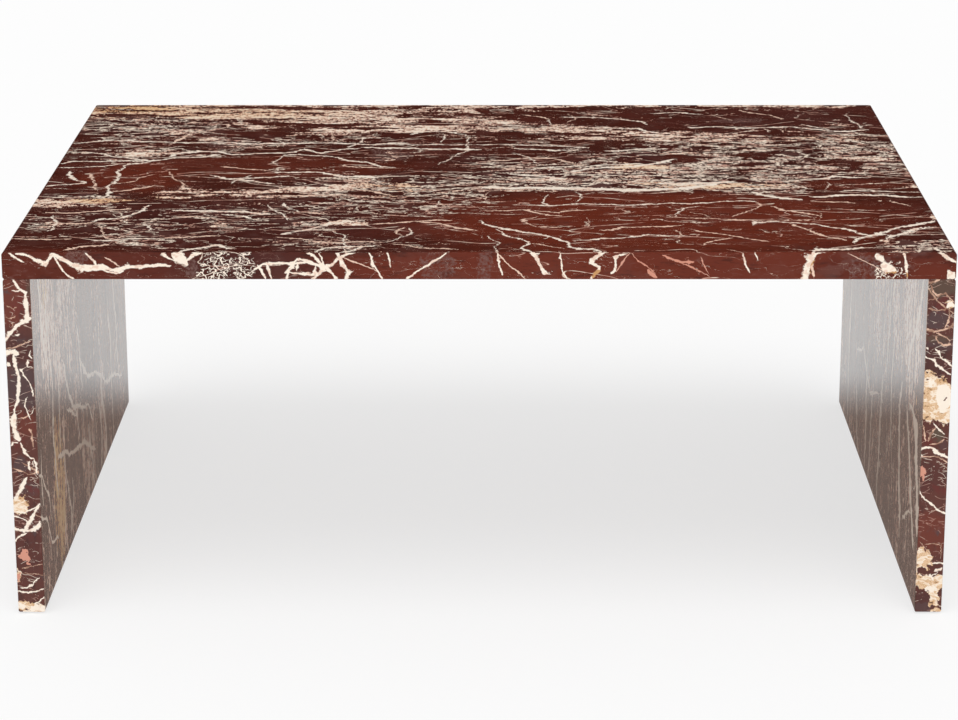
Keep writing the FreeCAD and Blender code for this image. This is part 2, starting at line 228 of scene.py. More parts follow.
def stand_dark_cards():
    """A ring of dark cards far out, seen only in polish: it keeps the sky's white off the glossy top."""
    material, web = new_material("dark_card")
    matt = web.node("ShaderNodeBsdfDiffuse", {"Color": CARD_BLACK})
    web.node("ShaderNodeOutputMaterial", {"Surface": matt.outputs[0]})
    shape = bmesh.new()
    radius = CARD_RING_RADIUS
    height = CARD_RING_HEIGHT
    bmesh.ops.create_cone(shape, cap_ends=False, segments=48, radius1=radius, radius2=radius, depth=height)
    bmesh.ops.translate(shape, verts=shape.verts, vec=(0, 0, CARD_RING_MIDDLE))
    cards = studio_piece("dark_cards", shape, material, only_in_polish=True)


def lay_painted_shadow_card():
    """A grey glowing card on the floor between the legs, seen only in their polish. It is painted shadow: in
    the legs' reflection it stands for the floor shaded under the table. It fades out behind the table."""
    material, web = new_material("painted_shadow_card")
    place = web.node("ShaderNodeTexCoord").outputs["Object"]
    behind = web.fade(web.split(place)[1], *GREY_CARD_FADE)
    # Painted shadow, glowing: the legs mirror it as the floor shaded under the table.
    glow = web.node("ShaderNodeEmission", {"Color": PAINTED_SHADOW_GREY, "Strength": 1.0})
    clear = web.node("ShaderNodeBsdfTransparent")
    blend = web.node("ShaderNodeMixShader", {0: behind, 1: glow.outputs[0], 2: clear.outputs[0]})
    web.node("ShaderNodeOutputMaterial", {"Surface": blend.outputs[0]})
    shape = bmesh.new()
    bmesh.ops.create_grid(shape, x_segments=1, y_segments=1, size=1)
    half_length = HALF_LENGTH - LEG_THICKNESS - CARD_GAP
    bmesh.ops.scale(shape, verts=shape.verts, vec=(half_length, GREY_CARD_HALF_DEPTH, 1))
    bmesh.ops.translate(shape, verts=shape.verts, vec=(0, 0, CARD_GAP))
    card = studio_piece("painted_shadow_card", shape, material, only_in_polish=True)


set_camera()
bpy.context.scene.view_settings.view_transform = "Standard"
set_world()
lay_floor()
stand_dark_cards()
lay_painted_shadow_card()
soft_sun("key_light", strength=1.5, spread=45, aim=(20, -15))
soft_sun("front_light", strength=0.5, spread=80, aim=(75, 20))

# How the stone's drawing is made. A vein, or an edge of a band, is a course: one curve of a curves node,
# on a run from -1 to 1, that gives its place across in metres. Three curves fit in a node.

OFF_FACE = -60
END_STEP = 0.01
THIN_END = 0.25
STEEPEST = 3
LONG_VEIN = 90
SPARE_RUN = 0.03
BROKEN_EDGE = (0.4, 0.56)


def set_curve(curve, points):
    """Gives a curve straight runs between the points."""
    while len(curve.points) > 2:
        curve.points.remove(curve.points[1])
    curve.points[0].location = points[0]
    curve.points[1].location = points[-1]
    for s, t in points[1:-1]:
        curve.points.new(s, t)
    for point in curve.points:
        point.handle_type = "VECTOR"


def curves_node(web, run, curves):
    node = web.node("ShaderNodeVectorCurve", {"Vector": run})
    node.mapping.use_clip = False
    node.mapping.extend = "HORIZONTAL"
    for curve, points in zip(node.mapping.curves, curves):
        set_curve(curve, points)
    node.mapping.update()
    return node.outputs[0]


def run_along(web, along, start, span):
    """How far a place is on the run from start over the span, for all three curves of a node."""
    run = web.line(along, 2 / span, -2 * start / span - 1)
    return web.join(run, run, run)


def on_run(points, start, span):
    """A course in millimetres, put on that run."""
    return [((s - start) / span * 2 - 1, t / MM) for s, t in points]


def with_ends(points):
    """A course that is off the face before its first point and after its last."""
    before, after = points[0][0] - END_STEP, points[-1][0] + END_STEP
    return [(-1, OFF_FACE), (before, OFF_FACE)] + points + [(after, OFF_FACE), (1, OFF_FACE)]


def spread_widths(points, run, half):
    """How far a vein reaches to either side along its course: more where the course is steep, and
    little at its ends."""
    spread = [(-1, half * THIN_END), (run[0][0], half * THIN_END)]
    for (s, t), (next_s, next_t), (place, _), (next_place, _) in zip(points, points[1:], run, run[1:]):
        steepness = min(abs(next_t - t) / (next_s - s), STEEPEST)
        reach = half * math.sqrt(1 + steepness ** 2)
        third = (next_place - place) / 3
        spread += [(place + third, reach), (next_place - third, reach)]
    return spread + [(run[-1][0], half * THIN_END), (1, half * THIN_END)]


def veins(web, along, across, lines):
    """The distance to the nearest line, in half widths: under 1 inside a vein. Lines are
    (width, points), each point being (place along, place across), in millimetres. Ends taper."""
    nearest = None
    ordered = sorted(lines, key=lambda line: (line[1][-1][0] - line[1][0][0] > LONG_VEIN, line[1][0][0]))
    for first in range(0, len(ordered), 3):
        trio = ordered[first : first + 3]
        start = min(points[0][0] for _, points in trio)
        span = max(points[-1][0] for _, points in trio) - start
        start, span = start - SPARE_RUN * span, (1 + 2 * SPARE_RUN) * span
        courses, widths = [], []
        for width, points in trio:
            course = on_run(points, start, span)
            courses.append(with_ends(course))
            widths.append(spread_widths(points, course, width / 2 / MM))
        spare = 3 - len(trio)
        courses += [[(-1, OFF_FACE), (1, OFF_FACE)]] * spare
        widths += [[(-1, 1), (1, 1)]] * spare
        run = run_along(web, along, start, span)
        gap = web.vector("SUBTRACT", across, curves_node(web, run, courses))
        gap = web.vector("DIVIDE", web.vector("ABSOLUTE", gap), curves_node(web, run, widths))
        for one in web.split(gap)[: len(trio)]:
            nearest = one if nearest is None else web.math("MINIMUM", nearest, one)
    return nearest


def patches(web, place, ovals, edge):
    """1 inside any of several ovals, fading to 0 over their edges. An oval is (x, y, length, depth), and
    a fifth value is its strength, if that isn't 1."""
    most = None
    for x, y, length, depth, *strength in ovals:
        spread = (2 / length, 2 / depth, 0)
        centred = web.vector("MULTIPLY_ADD", place, spread, (-2 * x / length, -2 * y / depth, 0))
        one = web.fade(web.vector("LENGTH", centred), 1 + edge, 1 - edge)
        if strength:
            one = web.times(one, strength[0])
        most = one if most is None else web.most(most, one)
    return most


def band(web, along, across, upper, lower, soft):
    """1 between two courses across a face, each a list of (place along, place across)."""
    start = min(upper[0][0], lower[0][0])
    span = max(upper[-1][0], lower[-1][0]) - start
    run = run_along(web, along, start, span)
    edges = [on_run(points, start, span) for points in (upper, lower)]
    top, bottom, _ = web.split(curves_node(web, run, edges + [[(-1, 0), (1, 0)]]))
    below = web.fade(web.less(top, across), -soft / MM, soft / MM)
    above = web.fade(web.less(across, bottom), -soft / MM, soft / MM)
    return web.times(below, above)


def broken(web, place, strength, size, drawn_out=2.2):
    """Breaks up the edges and the inside of a zone, so that it ends in streaks and islands."""
    coarse = web.noise(web.stretch(place, (drawn_out, 1, 1)), size, detail=5, rough=0.62)
    strength = web.plus(strength, web.line(coarse, 2.0, -1.0))
    return web.fade(strength, *BROKEN_EDGE)


HAIR = 0.03
SLOPE_STEP = 0.5
LEAST_SLOPE = 0.00001


def threads(web, place, size, width, drawn_out=1, flat=1, detail=2, turn=0, depth=0):
    """Fine winding veins that run together and part again: the lines where a noise passes its middle.
    width is to either side, in millimetres, and flat is how many times wider a vein is that runs across.
    turn is the angle that they are drawn out along, and depth picks another drawing of the same kind."""
    clouds = []
    for x, y in ((0, 0), (SLOPE_STEP, 0), (0, SLOPE_STEP * flat)):
        moved = web.stretch(place, (drawn_out, 1, 1), turn, (-x, -y, depth))
        clouds.append(web.noise(moved, size, detail))
    here, aside, behind = clouds
    slopes = web.join(web.less(aside, here), web.less(behind, here), LEAST_SLOPE)
    off_line = web.times(web.math("ABSOLUTE", web.less(here, 0.5)), SLOPE_STEP)
    off_line = web.math("DIVIDE", off_line, web.vector("LENGTH", slopes))
    width = web.most(width, HAIR)
    return web.fade(off_line, width, web.times(width, 0.5))


# Colours


def swatch(red, green, blue):
    """A colour as read on a screen, 0 to 255, in the linear values that a shader takes. The numbers are
    those of the usual screen curve."""
    shares = (value / 255 for value in (red, green, blue))
    return tuple(v / 12.92 if v <= 0.04045 else ((v + 0.055) / 1.055) ** 2.4 for v in shares) + (1,)


OXBLOOD = swatch(74, 29, 19)
LEG_BODY = swatch(92, 45, 35)
RUST = swatch(106, 43, 27)
MAROON = swatch(84, 36, 27)
BLOOD = swatch(104, 30, 24)
PLUM = swatch(76, 36, 31)
DARK_GAP = swatch(42, 17, 12)
INK = swatch(58, 25, 22)
SLATE = swatch(80, 58, 58)
MAUVE = swatch(130, 92, 84)
SMOKE = swatch(122, 92, 86)
OLIVE_BROWN = swatch(88, 68, 54)
COFFEE = swatch(88, 64, 54)
# The light coffee of the painted reflection haze on the inner faces' upper back.
HAZE_PALE_COFFEE = swatch(176, 140, 110)
TAN_BROWN = swatch(160, 118, 96)
PALE_TAN = swatch(228, 188, 162)
APRICOT = swatch(216, 150, 128)
HONEY = swatch(206, 156, 104)
PEACH = swatch(240, 208, 172)
VEIN_PINK = swatch(240, 206, 184)
CREAM_PINK = swatch(238, 206, 186)
BRIGHT_CREAM = swatch(255, 241, 224)
THREAD = swatch(255, 236, 216)
THREAD_ROSE = swatch(208, 162, 144)
GRAIN_DARK = swatch(72, 34, 28)
GRAIN_MAUVE = swatch(146, 104, 98)
GRAIN_TAN = swatch(204, 158, 138)
GRAIN_CREAM = swatch(250, 215, 190)
GRAIN_LIGHT = swatch(255, 240, 222)
GOLD_CAST = (0.86, 0.66, 0.4, 1)
OLIVE_CAST = (0.9, 0.76, 0.46, 1)

STEEL_TONES = swatch(138, 138, 140), swatch(172, 172, 173), swatch(202, 202, 202)
STAINLESS_TONES = swatch(150, 150, 150), swatch(188, 187, 185), swatch(216, 215, 212)
BRASS_TONES = swatch(170, 136, 74), swatch(206, 170, 98), swatch(232, 204, 140)
FELT_TONES = swatch(44, 42, 40), swatch(74, 71, 68), swatch(112, 108, 102)

# The tabletop's veins. Each has its width and then the points of its course: right, back, right, back
# and so on, in millimetres from the middle of the top. Past 395 to the front, where back is under -395,
# a course goes on down the front edge. Most run across the table, and the deep ones from front to back.

TOP_CREAM_ACROSS = [
    (7, -520, 157, -487, 168, -467, 175, -437, 168, -387, 160, -337, 157, -287, 155, -230, 157, -187, 157,
     -137, 153, -90, 157),
    (8, -153, 133, -120, 128, -87, 127, -53, 123, 0, 120),
    (5, -137, 147, 0, 148, 50, 150, 100, 142, 133, 132),
    (6, -520, 112, -500, 103, -477, 95, -457, 82, -433, 72, -410, 62, -397, 62),
    (6, -520, 38, -507, 55, -487, 58, -453, 55, -430, 60, -397, 62, -387, 72, -340, 78, -323, 95),
    (6, -393, 75, -380, 102, -353, 110, -320, 107, -310, 93, -280, 97, -253, 100, -233, 108, -223, 122,
     -213, 115, -203, 102, -187, 112, -173, 125, -153, 128),
    (6, -250, 85, -227, 93, -200, 85, -183, 75, -167, 58, -153, 52, -137, 42, -123, 25, -103, 18),
    (5, -520, 18, -487, 22, -460, 25, -443, 38), (5, -93, 208, -77, 225, -60, 230, -40, 222, -23, 208),
    (9, -247, -7, -200, -5, -183, -13, -167, -27, -143, -28, -120, -33),
    (8, -330, -20, -303, -40, -290, -43, -267, -60, -247, -70), (6, -290, -43, -260, -33, -227, -27),
    (8, -353, -202, -307, -203, -273, -207, -253, -223, -240, -220), (6, -293, -217, -267, -230, -253, -247),
    (7, -220, -313, -200, -298, -183, -283, -170, -267, -153, -257, -127, -253),
    (6, -183, -395, -167, -377, -147, -368, -120, -370), (5, -153, -395, -137, -380, -113, -363),
    (8, -330, -395, -320, -380, -303, -370, -290, -360, -280, -377, -267, -380),
    (6, -427, -343, -407, -340, -390, -333, -360, -335, -350, -340),
    (5, 100, 318, 143, 313, 167, 307, 187, 297, 207, 285, 213, 272), (5, 217, 343, 253, 343, 287, 333),
    (7, 267, 252, 287, 252, 300, 257, 333, 248, 360, 253, 400, 255, 420, 242, 440, 232, 473, 228, 500, 232),
    (6, 413, 272, 427, 255, 447, 235), (5, 150, 248, 200, 248, 213, 228, 233, 212),
    (5, 43, 123, 83, 118, 133, 118), (6, 150, 112, 200, 122, 233, 125), (5, 43, 2, 67, 15, 100, 28, 123, 35),
    (10, 104, -6, 128, 10, 150, 18, 176, 20, 205, 34, 222, 50, 240, 66),
    (7, 120, 22, 150, 32, 185, 36, 200, 40), (14, 205, -66, 240, -64, 275, -62, 305, -55),
    (16, 0, -87, 33, -87, 100, -90, 143, -93, 167, -100, 207, -97, 247, -90, 267, -73, 287, -60, 300, -57),
    (10, 317, -110, 333, -127, 350, -140, 377, -150), (9, 383, -130, 417, -128, 467, -125, 520, -137),
    (6, 430, -102, 520, -110), (9, 33, -17, 67, -27, 93, -37, 100, -43), (7, 213, -53, 233, -77, 267, -67),
    (6, 383, -43, 417, -42, 420, -30, 467, -32),
    (5, 50, -170, 87, -175, 107, -168, 150, -172, 177, -175, 200, -170, 220, -163, 240, -167, 253, -160,
     283, -157, 310, -155, 323, -160),
    (5, 307, -273, 310, -260, 333, -255, 353, -260, 377, -267, 393, -283, 420, -300, 423, -313, 433, -320),
    (6, 0, -250, 10, -273, 27, -290, 47, -303, 67, -313, 83, -333, 97, -350, 103, -377, 123, -380,
     133, -395),
    (8, 413, -350, 420, -333, 437, -317, 457, -300, 477, -280, 500, -267, 520, -253),
    (6, 450, -337, 453, -327, 470, -307, 490, -290, 513, -280),
    (9, 363, -395, 367, -383, 380, -377, 400, -380, 417, -373, 423, -368),
    (4, -505, -396, -497, -397, -490, -400, -484, -404, -478, -405, -472.5, -409, -468, -402, -464, -396.5,
     -457, -401, -448, -406, -440, -410, -430, -412, -420, -411, -410, -409.5, -404, -413, -397, -415,
     -390, -413, -382, -410, -370, -411, -350, -409, -335, -410),
    (4, -458, -399, -448, -405, -438, -411, -425, -411.5, -412, -410.5, -400, -414.5, -385, -412, -368, -410,
     -350, -409),
    (2.5, -436, -414, -412, -413.5, -405, -417, -395, -419, -386, -415),
    (3, -246, -413, -240, -411, -235, -408, -218, -407, -203, -407, -188, -406, -178, -409, -168, -413),
    (2.5, -208, -408, -203, -406, -198, -403, -188, -404, -177, -409, -166, -412),
    (2.5, -212, -417, -207, -417, -193, -419, -183, -421, -176, -418),
    (3.5, -190, -393, -187, -395, -182, -398, -175, -405, -170, -412, -160, -408, -153, -401, -143, -396,
     -134, -394),
    (5, 100, -343, 150, -330, 190, -318, 240, -322), (9, 430, -398, 436, -400, 442, -403),
    (10, 438, -409, 446, -413, 455, -416), (8, 507, -418, 513, -420, 522, -421),
    (7, -442, -409, -436, -411, -430, -413), (13, -336, -396, -327, -401, -317, -406),
    (3, -319, -404, -310, -397, -302, -396),
]

TOP_CREAM_DEEP = [
    (3, -143, 198, -153, 175, -163, 145, -170, 132), (3, -50, 215, -47, 188, -50, 162),
    (2.5, -23, 208, -20, 168, -20, 118, -30, 95, -37, 68, -50, 52, -52, 35),
    (2.5, -270, 182, -253, 162, -250, 132), (2.5, -250, 85, -253, 62, -257, 42, -250, 32),
    (5, -397, 62, -420, 45, -433, 35, -437, 15, -445, 0, -440, -20, -437, -37, -438, -67, -445, -83,
     -443, -100, -438, -123, -433, -133),
    (6, -497, 0, -493, -20, -487, -43, -473, -57, -477, -63, -500, -73, -520, -83),
    (3, -273, -20, -290, -43, -297, -70),
    (5, -383, -177, -387, -200, -397, -220, -410, -237, -430, -243, -440, -257), (3, -403, -250, -397, -267),
    (3, -377, -263, -370, -280, -370, -297, -377, -303), (3, -487, -227, -483, -253, -477, -283, -482, -300),
    (3, -510, -277, -500, -267, -487, -263), (3, -247, -170, -237, -197, -227, -217, -220, -247),
    (3, -233, -167, -220, -187, -210, -207), (3, -33, -127, -35, -147), (3, -47, -153, -50, -173),
    (3, -107, -350, -90, -327, -77, -307, -77, -287),
    (2.5, -170, -290, -153, -317, -148, -340, -147, -367, -143, -395),
    (3, -403, -347, -393, -363, -373, -360), (2.5, 37, 102, 50, 78, 67, 55, 80, 25, 83, 0),
    (3, 87, 302, 87, 272), (2.5, 480, 338, 482, 295, 487, 268, 492, 238), (3, 363, 248, 367, 222),
    (3, 363, -53, 377, -83, 393, -97), (2.5, 417, -60, 410, -97),
    (3, 80, -123, 73, -147, 70, -163, 80, -173), (2.5, 110, -103, 118, -127, 113, -160),
    (3, 253, -177, 233, -190, 227, -207, 223, -230),
    (4, 17, -287, 30, -313, 43, -337, 53, -353, 50, -370, 57, -395, 62, -400, 67, -409, 71, -417, 74, -423),
    (2, 7, -320, 20, -350, 20, -395, 22.5, -410, 26, -422), (4, 503, -365, 503, -395, 510, -401, 520, -407),
    (2, -464, -399, -458, -409, -453, -416, -446, -422, -438, -427),
    (2.5, -513, -393, -505, -401, -496, -407), (2, -430, -393, -423, -400, -418, -404, -416, -412),
    (2.5, -346, -393, -341, -400, -330, -405), (3, -241, -408, -238, -413, -232, -426),
    (2.5, -231, -406, -230, -410, -226, -426), (2.5, -200, -405, -203, -409, -207, -416, -210, -427),
    (2, -198, -405, -198, -416), (2, -178, -408, -181, -421), (2, -176, -394, -172, -401, -169, -413),
    (3, -168, -410, -171, -415, -176, -420, -184, -427), (3, -171, -409, -166, -413, -160, -418, -154, -427),
    (4, -155, -392, -152, -400, -148, -408, -142, -416, -146, -426),
    (2.5, -122, -392, -117, -399, -116, -408, -112, -415, -104, -427), (2, -100, -392, -98, -403, -97, -412),
    (2, -32, -392, -42, -400, -52, -406, -63, -413, -82, -427),
    (1.5, 88, -391, 90, -405, 90, -414, 97, -427),
    (3.5, 138, -392, 127, -401, 122, -407, 131, -411.5, 130, -415, 120, -427),
    (2.5, 162, -395, 148, -398.5, 149, -409, 147.5, -415, 143, -419), (2.5, 287, -396, 290, -408, 295, -418),
    (2, 300, -395, 304, -404), (8, 366, -393, 362, -401, 358, -410, 354, -432),
    (3, 376, -393, 366, -397, 360, -402), (2.5, 462, -392, 464, -404, 467, -424),
]

TOP_PINK_ACROSS = [
    (7, -320, 28, -287, 12, -253, 3), (6, -177, 32, -143, 22, -103, 12),
    (8, -440, -107, -420, -98, -397, -87, -390, -77), (7, -500, -207, -477, -213, -443, -207, -400, -193),
    (5, -347, -230, -323, -230, -300, -238), (6, -210, -207, -170, -220),
    (6, -227, -127, -180, -128, -153, -120), (6, -143, -100, -120, -117, -100, -128),
    (6, -497, -267, -437, -260, -387, -263), (7, -127, -270, -93, -260, -73, -255, -47, -248, -30, -245),
    (7, -73, -257, -43, -263, -27, -280, 0, -300),
    (6, -227, -330, -200, -335, -183, -347, -153, -348, -107, -347),
    (5, -97, -353, -77, -367, -53, -377, -20, -380), (6, -350, -330, -320, -323, -290, -320),
    (6, -457, -380, -440, -370, -410, -362), (8, -520, -335, -453, -337), (5, 50, 332, 73, 318, 87, 302),
    (5, 337, 365, 353, 345, 380, 325, 393, 305), (6, 0, 52, 50, 68, 83, 72, 100, 55, 113, 45),
    (6, 0, -202, 40, -202, 57, -200, 67, -217, 80, -227, 97, -227),
    (5, 63, -200, 87, -213, 103, -203, 130, -197), (5, 63, -280, 93, -280),
    (5, 133, -297, 150, -295, 163, -280, 187, -278, 207, -278, 217, -273, 230, -270),
    (4, 203, -230, 260, -240, 300, -247, 320, -250, 387, -245),
    (5, 233, -287, 267, -310, 300, -333, 320, -350), (5, 243, -363, 257, -343, 280, -327),
    (6, 333, -183, 347, -200, 367, -213, 387, -230), (6, 347, -263, 367, -293, 387, -320, 407, -343),
    (5, 53, -353, 93, -377), (4, 477, -150, 497, -183), (7, 383, -155, 440, -163),
    (1.5, -150, -399, -137, -405, -127, -409, -115, -414, -104, -424),
    (2, 17, -392, 33, -409, 43, -417, 52, -426), (2, 166, -394, 173, -404, 183, -410, 192, -418),
    (4, 200, -398, 209, -402, 219, -405.5, 234, -405), (2, 219, -406, 233, -412, 251, -421),
    (2, 240, -399, 250, -420), (1.5, 400, -396, 417, -404, 430, -409, 445, -418),
    (2.5, -408, -399, -398, -405, -391, -410), (9, 183, -415, 187, -418, 194, -423),
    (7, 360, -407, 363, -412, 366, -420),
]

TOP_PINK_DEEP = [
    (8, -377, 205, -383, 182, -390, 162), (3, -333, 272, -330, 252, -353, 232, -373, 215),
    (4, -192, 205, -190, 165), (4, -475, -7, -467, -40, -463, -53, -457, -107),
    (3, -393, -13, -410, -37, -413, -47, -437, -70),
    (3, -377, 0, -373, -27, -360, -53, -353, -83, -350, -100), (3, -360, -233, -373, -260),
    (3, -83, -280, -90, -293, -90, -320), (3, -430, -270, -423, -300, -417, -327, -407, -343),
    (2.5, 113, 338, 123, 308, 110, 282), (2.5, 300, 328, 320, 308, 323, 292), (2.5, 383, 248, 387, 222),
    (2.5, 423, 98, 433, 68), (3, 323, -160, 323, -180, 310, -200, 293, -217, 287, -233),
    (3, 13, -110, 3, -127, 7, -153), (2.5, 67, -230, 50, -243, 53, -257, 63, -280),
    (2, 123, -230, 122, -283), (2.5, 217, -290, 227, -310, 223, -333),
    (2.5, 240, -207, 257, -220, 260, -240), (2, 388, -207, 387, -245), (2.5, 270, -377, 287, -395),
    (2, 166, -393, 157, -405, 149, -417),
]

# Where the tabletop's stone turns pale, grainy or netted, on the same measure. Ovals are
# (right, back, length, depth), and a fifth value is a strength, if that isn't 1.

BACK_BAND = (
    [(-520, 420), (-20, 420), (0, 330), (50, 285), (100, 268), (150, 252), (200, 235), (250, 215),
     (300, 203), (350, 205), (400, 215), (433, 208), (450, 195)],
    [(-520, 296), (-400, 300), (-385, 280), (-330, 272), (-305, 222), (-150, 206), (0, 225), (50, 205),
     (100, 182), (150, 162), (200, 162), (250, 165), (350, 168), (433, 182), (450, 190)],
)
BACK_RIM = ([(-20, 420), (480, 420), (500, 400)], [(-20, 374), (200, 378), (480, 376), (500, 392)])
LEFT_BAND = (
    [(-530, -142), (-487, -141), (-437, -133), (-400, -110), (-360, -90), (-320, -87), (-287, -88),
     (-253, -80), (-187, -60), (-140, -72)],
    [(-530, -198), (-487, -185), (-437, -157), (-400, -150), (-360, -140), (-320, -133), (-287, -148),
     (-253, -160), (-187, -120), (-140, -92)],
)
PALE_OVALS = [
    (-410, 105, 92, 44), (-335, 180, 32, 30, 0.8), (-114, 92, 18, 80, 0.7), (178, 26, 84, 52),
    (150, 0, 60, 30), (290, -82, 66, 56), (-150, -262, 62, 32), (-133, -157, 34, 40), (-410, -236, 30, 26),
    (-477, -270, 26, 26), (-298, -278, 18, 20), (437, -340, 12, 20), (517, -235, 10, 16), (332, 126, 42, 44),
    (340, -240, 44, 14), (-308, -420, 12, 10),
]
CRACKLED_OVALS = [
    (-286, -410, 34, 44), (-256, -412, 24, 40, 0.9), (-300, -422, 18, 14, 0.8), (446, -416, 44, 26, 0.55),
]
SMOKY_OVALS = [
    (5, -410, 16, 44), (-438, -402, 28, 18), (-44, -411, 44, 44, 0.6), (-312, -414, 14, 24, 0.8),
    (-310, 155, 70, 50), (-114, 95, 50, 70), (330, 292, 60, 40), (420, -412, 50, 30, 0.6),
]
APRICOT_OVALS = [(200, -412, 110, 44)]
HONEY_OVALS = [(365, -417, 10, 26), (455, -420, 30, 8), (130, -420, 16, 12)]
NET_OVALS = [
    (370, 80, 380, 200), (110, -48, 270, 90), (270, -50, 300, 120, 1.1), (-115, -90, 260, 150, 0.85),
    (490, -360, 110, 90, 0.8), (-438, 250, 200, 120), (-478, -128, 84, 34), (400, -412, 60, 34, 0.6),
    (448, -412, 50, 30), (80, 60, 200, 120, 0.8), (480, 180, 90, 70, 0.8), (-276, -411, 64, 36, 0.9),
    (-330, -250, 400, 150, 0.45), (-120, -190, 260, 90, 0.5), (-250, -350, 420, 70, 0.35),
    (-420, 100, 240, 90, 0.5), (-250, 180, 300, 60, 0.45), (60, 240, 120, 60, 0.7),
]
DARK_OVALS = [
    (-230, 272, 156, 28), (-254, 377, 108, 26), (63, 185, 70, 36), (-60, 88, 82, 62), (450, -66, 138, 62),
    (366, 126, 40, 30), (328, 78, 52, 34), (240, 70, 60, 50), (66, 92, 120, 84), (-330, 35, 120, 60),
    (-210, 30, 90, 50), (440, 40, 60, 40),
]
RUST_OVALS = [
    (190, -250, 560, 300), (200, -415, 800, 60), (320, -216, 30, 34), (-420, -30, 140, 150, 0.9),
    (-280, 20, 380, 130, 0.55), (-400, -415, 320, 50, 0.5), (440, -70, 130, 60, 0.5),
]
PLUM_OVALS = [
    (-300, -260, 440, 230, 0.8), (390, 300, 240, 140, 0.6), (200, 92, 60, 92), (-438, 250, 190, 110),
    (-260, -410, 160, 40), (100, -30, 260, 90), (0, 60, 90, 70, 0.8),
]
GOLD_OVALS = [
    (-470, 372, 140, 50), (-400, 345, 420, 90, 0.45), (170, 30, 140, 50, 0.5), (270, -75, 200, 50, 0.5),
    (450, 165, 104, 62, 0.4), (-105, -90, 76, 90, 0.5), (-430, -148, 130, 50, 0.8),
]


# How the stone's layers are laid. Sizes and widths are in millimetres. FACING is how squarely a face has
# to look one way to count as the top, the front or an inner face.

TOP_SHINE = 0.15
LEG_SHINE = 0.38
FACING = (0.4, 0.8)
GRAIN_STOPS = [
    (0.42, GRAIN_DARK), (0.48, GRAIN_MAUVE), (0.54, GRAIN_TAN), (0.62, GRAIN_CREAM), (0.72, GRAIN_LIGHT),
]


def place_on_piece(web, unfold=False):
    """The place in millimetres, and the way that the face looks. With unfold, the drawing on top carries
    on down the slab's edges."""
    coordinates = web.node("ShaderNodeTexCoord")
    place = web.vector("SCALE", coordinates.outputs["Object"], MM)
    normal = coordinates.outputs["Normal"]
    if unfold:
        below = web.less(TABLE_TOP * MM, web.split(place)[2])
        outward = web.vector("MULTIPLY", normal, (1, 1, 0))
        place = web.vector("ADD", place, web.vector("SCALE", outward, below))
    return place, normal


def wander(web, place, size, amount, detail, drawn_out=1):
    """Shifts a place by up to about the amount each way, in clouds of the given size. drawn_out makes
    the clouds that many times as long as they are deep."""
    cloud = web.noise(web.stretch(place, (drawn_out, 1, 1)), size, detail, colour=True)
    centred = web.vector("SUBTRACT", web.join(*web.split_colour(cloud)), (0.5, 0.5, 0.5))
    return web.vector("ADD", place, web.vector("SCALE", centred, web.times(amount, 2)))


def ground(web, place, rust, plum, body):
    """The dark body of the stone, turning rust or plum, softly clouded and finely specked."""
    cloud = web.noise(place, size=80, detail=3)
    colour = web.mix(web.fade(cloud, 0.4, 0.7), body, MAROON)
    colour = web.mix(rust, colour, RUST)
    colour = web.lay(colour, PLUM, plum, 0.8)
    speck = web.noise(web.stretch(place, (2.5, 1, 1)), size=9, detail=5, rough=0.65)
    colour = web.lay(colour, DARK_GAP, web.fade(speck, 0.48, 0.3), 0.5)
    return web.lay(colour, MAUVE, web.fade(speck, 0.58, 0.75), 0.4)


def fine_cracks(web, place, size, width, flat=1):
    """Long thin veins, nearly straight, that cross at slants and come and go."""
    lines = None
    for turn, depth in ((0.33, 0), (-0.29, size * 9)):
        one = threads(web, place, size, width, 3.5, flat, 3, turn, depth)
        lines = one if lines is None else web.most(lines, one)
    return web.times(lines, web.fade(web.noise(place, size * 0.5, detail=4, rough=0.6), 0.45, 0.53))


def lay_threads(web, colour, lines, bright):
    """Lays threads over the colour: rose ones where bright is 0, and cream ones where it is 1."""
    return web.mix(lines, colour, web.mix(bright, THREAD_ROSE, THREAD))


def pale_grains(web, place, strength):
    """Pale grains and streaks: next to none where the strength is 0, nearly closed where it is 1. Gives
    how far they cover the ground, and their colour."""
    bent = web.stretch(wander(web, place, size=14, amount=8, detail=3), (2.4, 1, 1))
    speck = web.noise(web.stretch(place, (1, 2.4, 1)), size=3, detail=3, rough=0.65)
    tone = web.plus(web.noise(bent, size=11, detail=6, rough=0.66), web.line(speck, 0.5, -0.25))
    bare = web.math("MINIMUM", web.less(strength, 0.15), 0)
    above = web.line(bare, 0.3, web.less(tone, 0.66))
    above = web.line(strength, 0.24, above)
    cloud = web.noise(web.stretch(place, (1.25, 1.7, 1)), size=5, detail=5, rough=0.75)
    shade = web.plus(above, web.line(cloud, 1.4, -0.2))
    colour = web.tones(shade, GRAIN_STOPS)
    return web.fade(above, 0.0, 0.03), colour


def draw_veins(web, colour, wobbly, across, deep, tint, slim=1.0):
    """Lays veins of one tint over the colour, from tables as above. wobbly is the place with a little
    waver in it, and a slim over 1 thins them."""
    u, v, _ = web.split(wobbly)
    u_metres = web.math("DIVIDE", u, MM)
    v_metres = web.math("DIVIDE", v, MM)
    across = [(width, sorted(zip(course[::2], course[1::2]))) for width, *course in across]
    deep = [(width, sorted(zip(course[1::2], course[::2]))) for width, *course in deep]
    nearest = veins(web, u, web.join(v_metres, v_metres, v_metres), across)
    deepest = veins(web, v, web.join(u_metres, u_metres, u_metres), deep)
    nearest = web.math("MINIMUM", nearest, deepest)
    swell = web.noise(wobbly, size=14, detail=5, rough=0.7)
    nearest = web.times(nearest, web.times(web.line(swell, 4.0, -0.95), slim))
    return web.mix(web.fade(nearest, 1.05, 0.6), colour, tint)


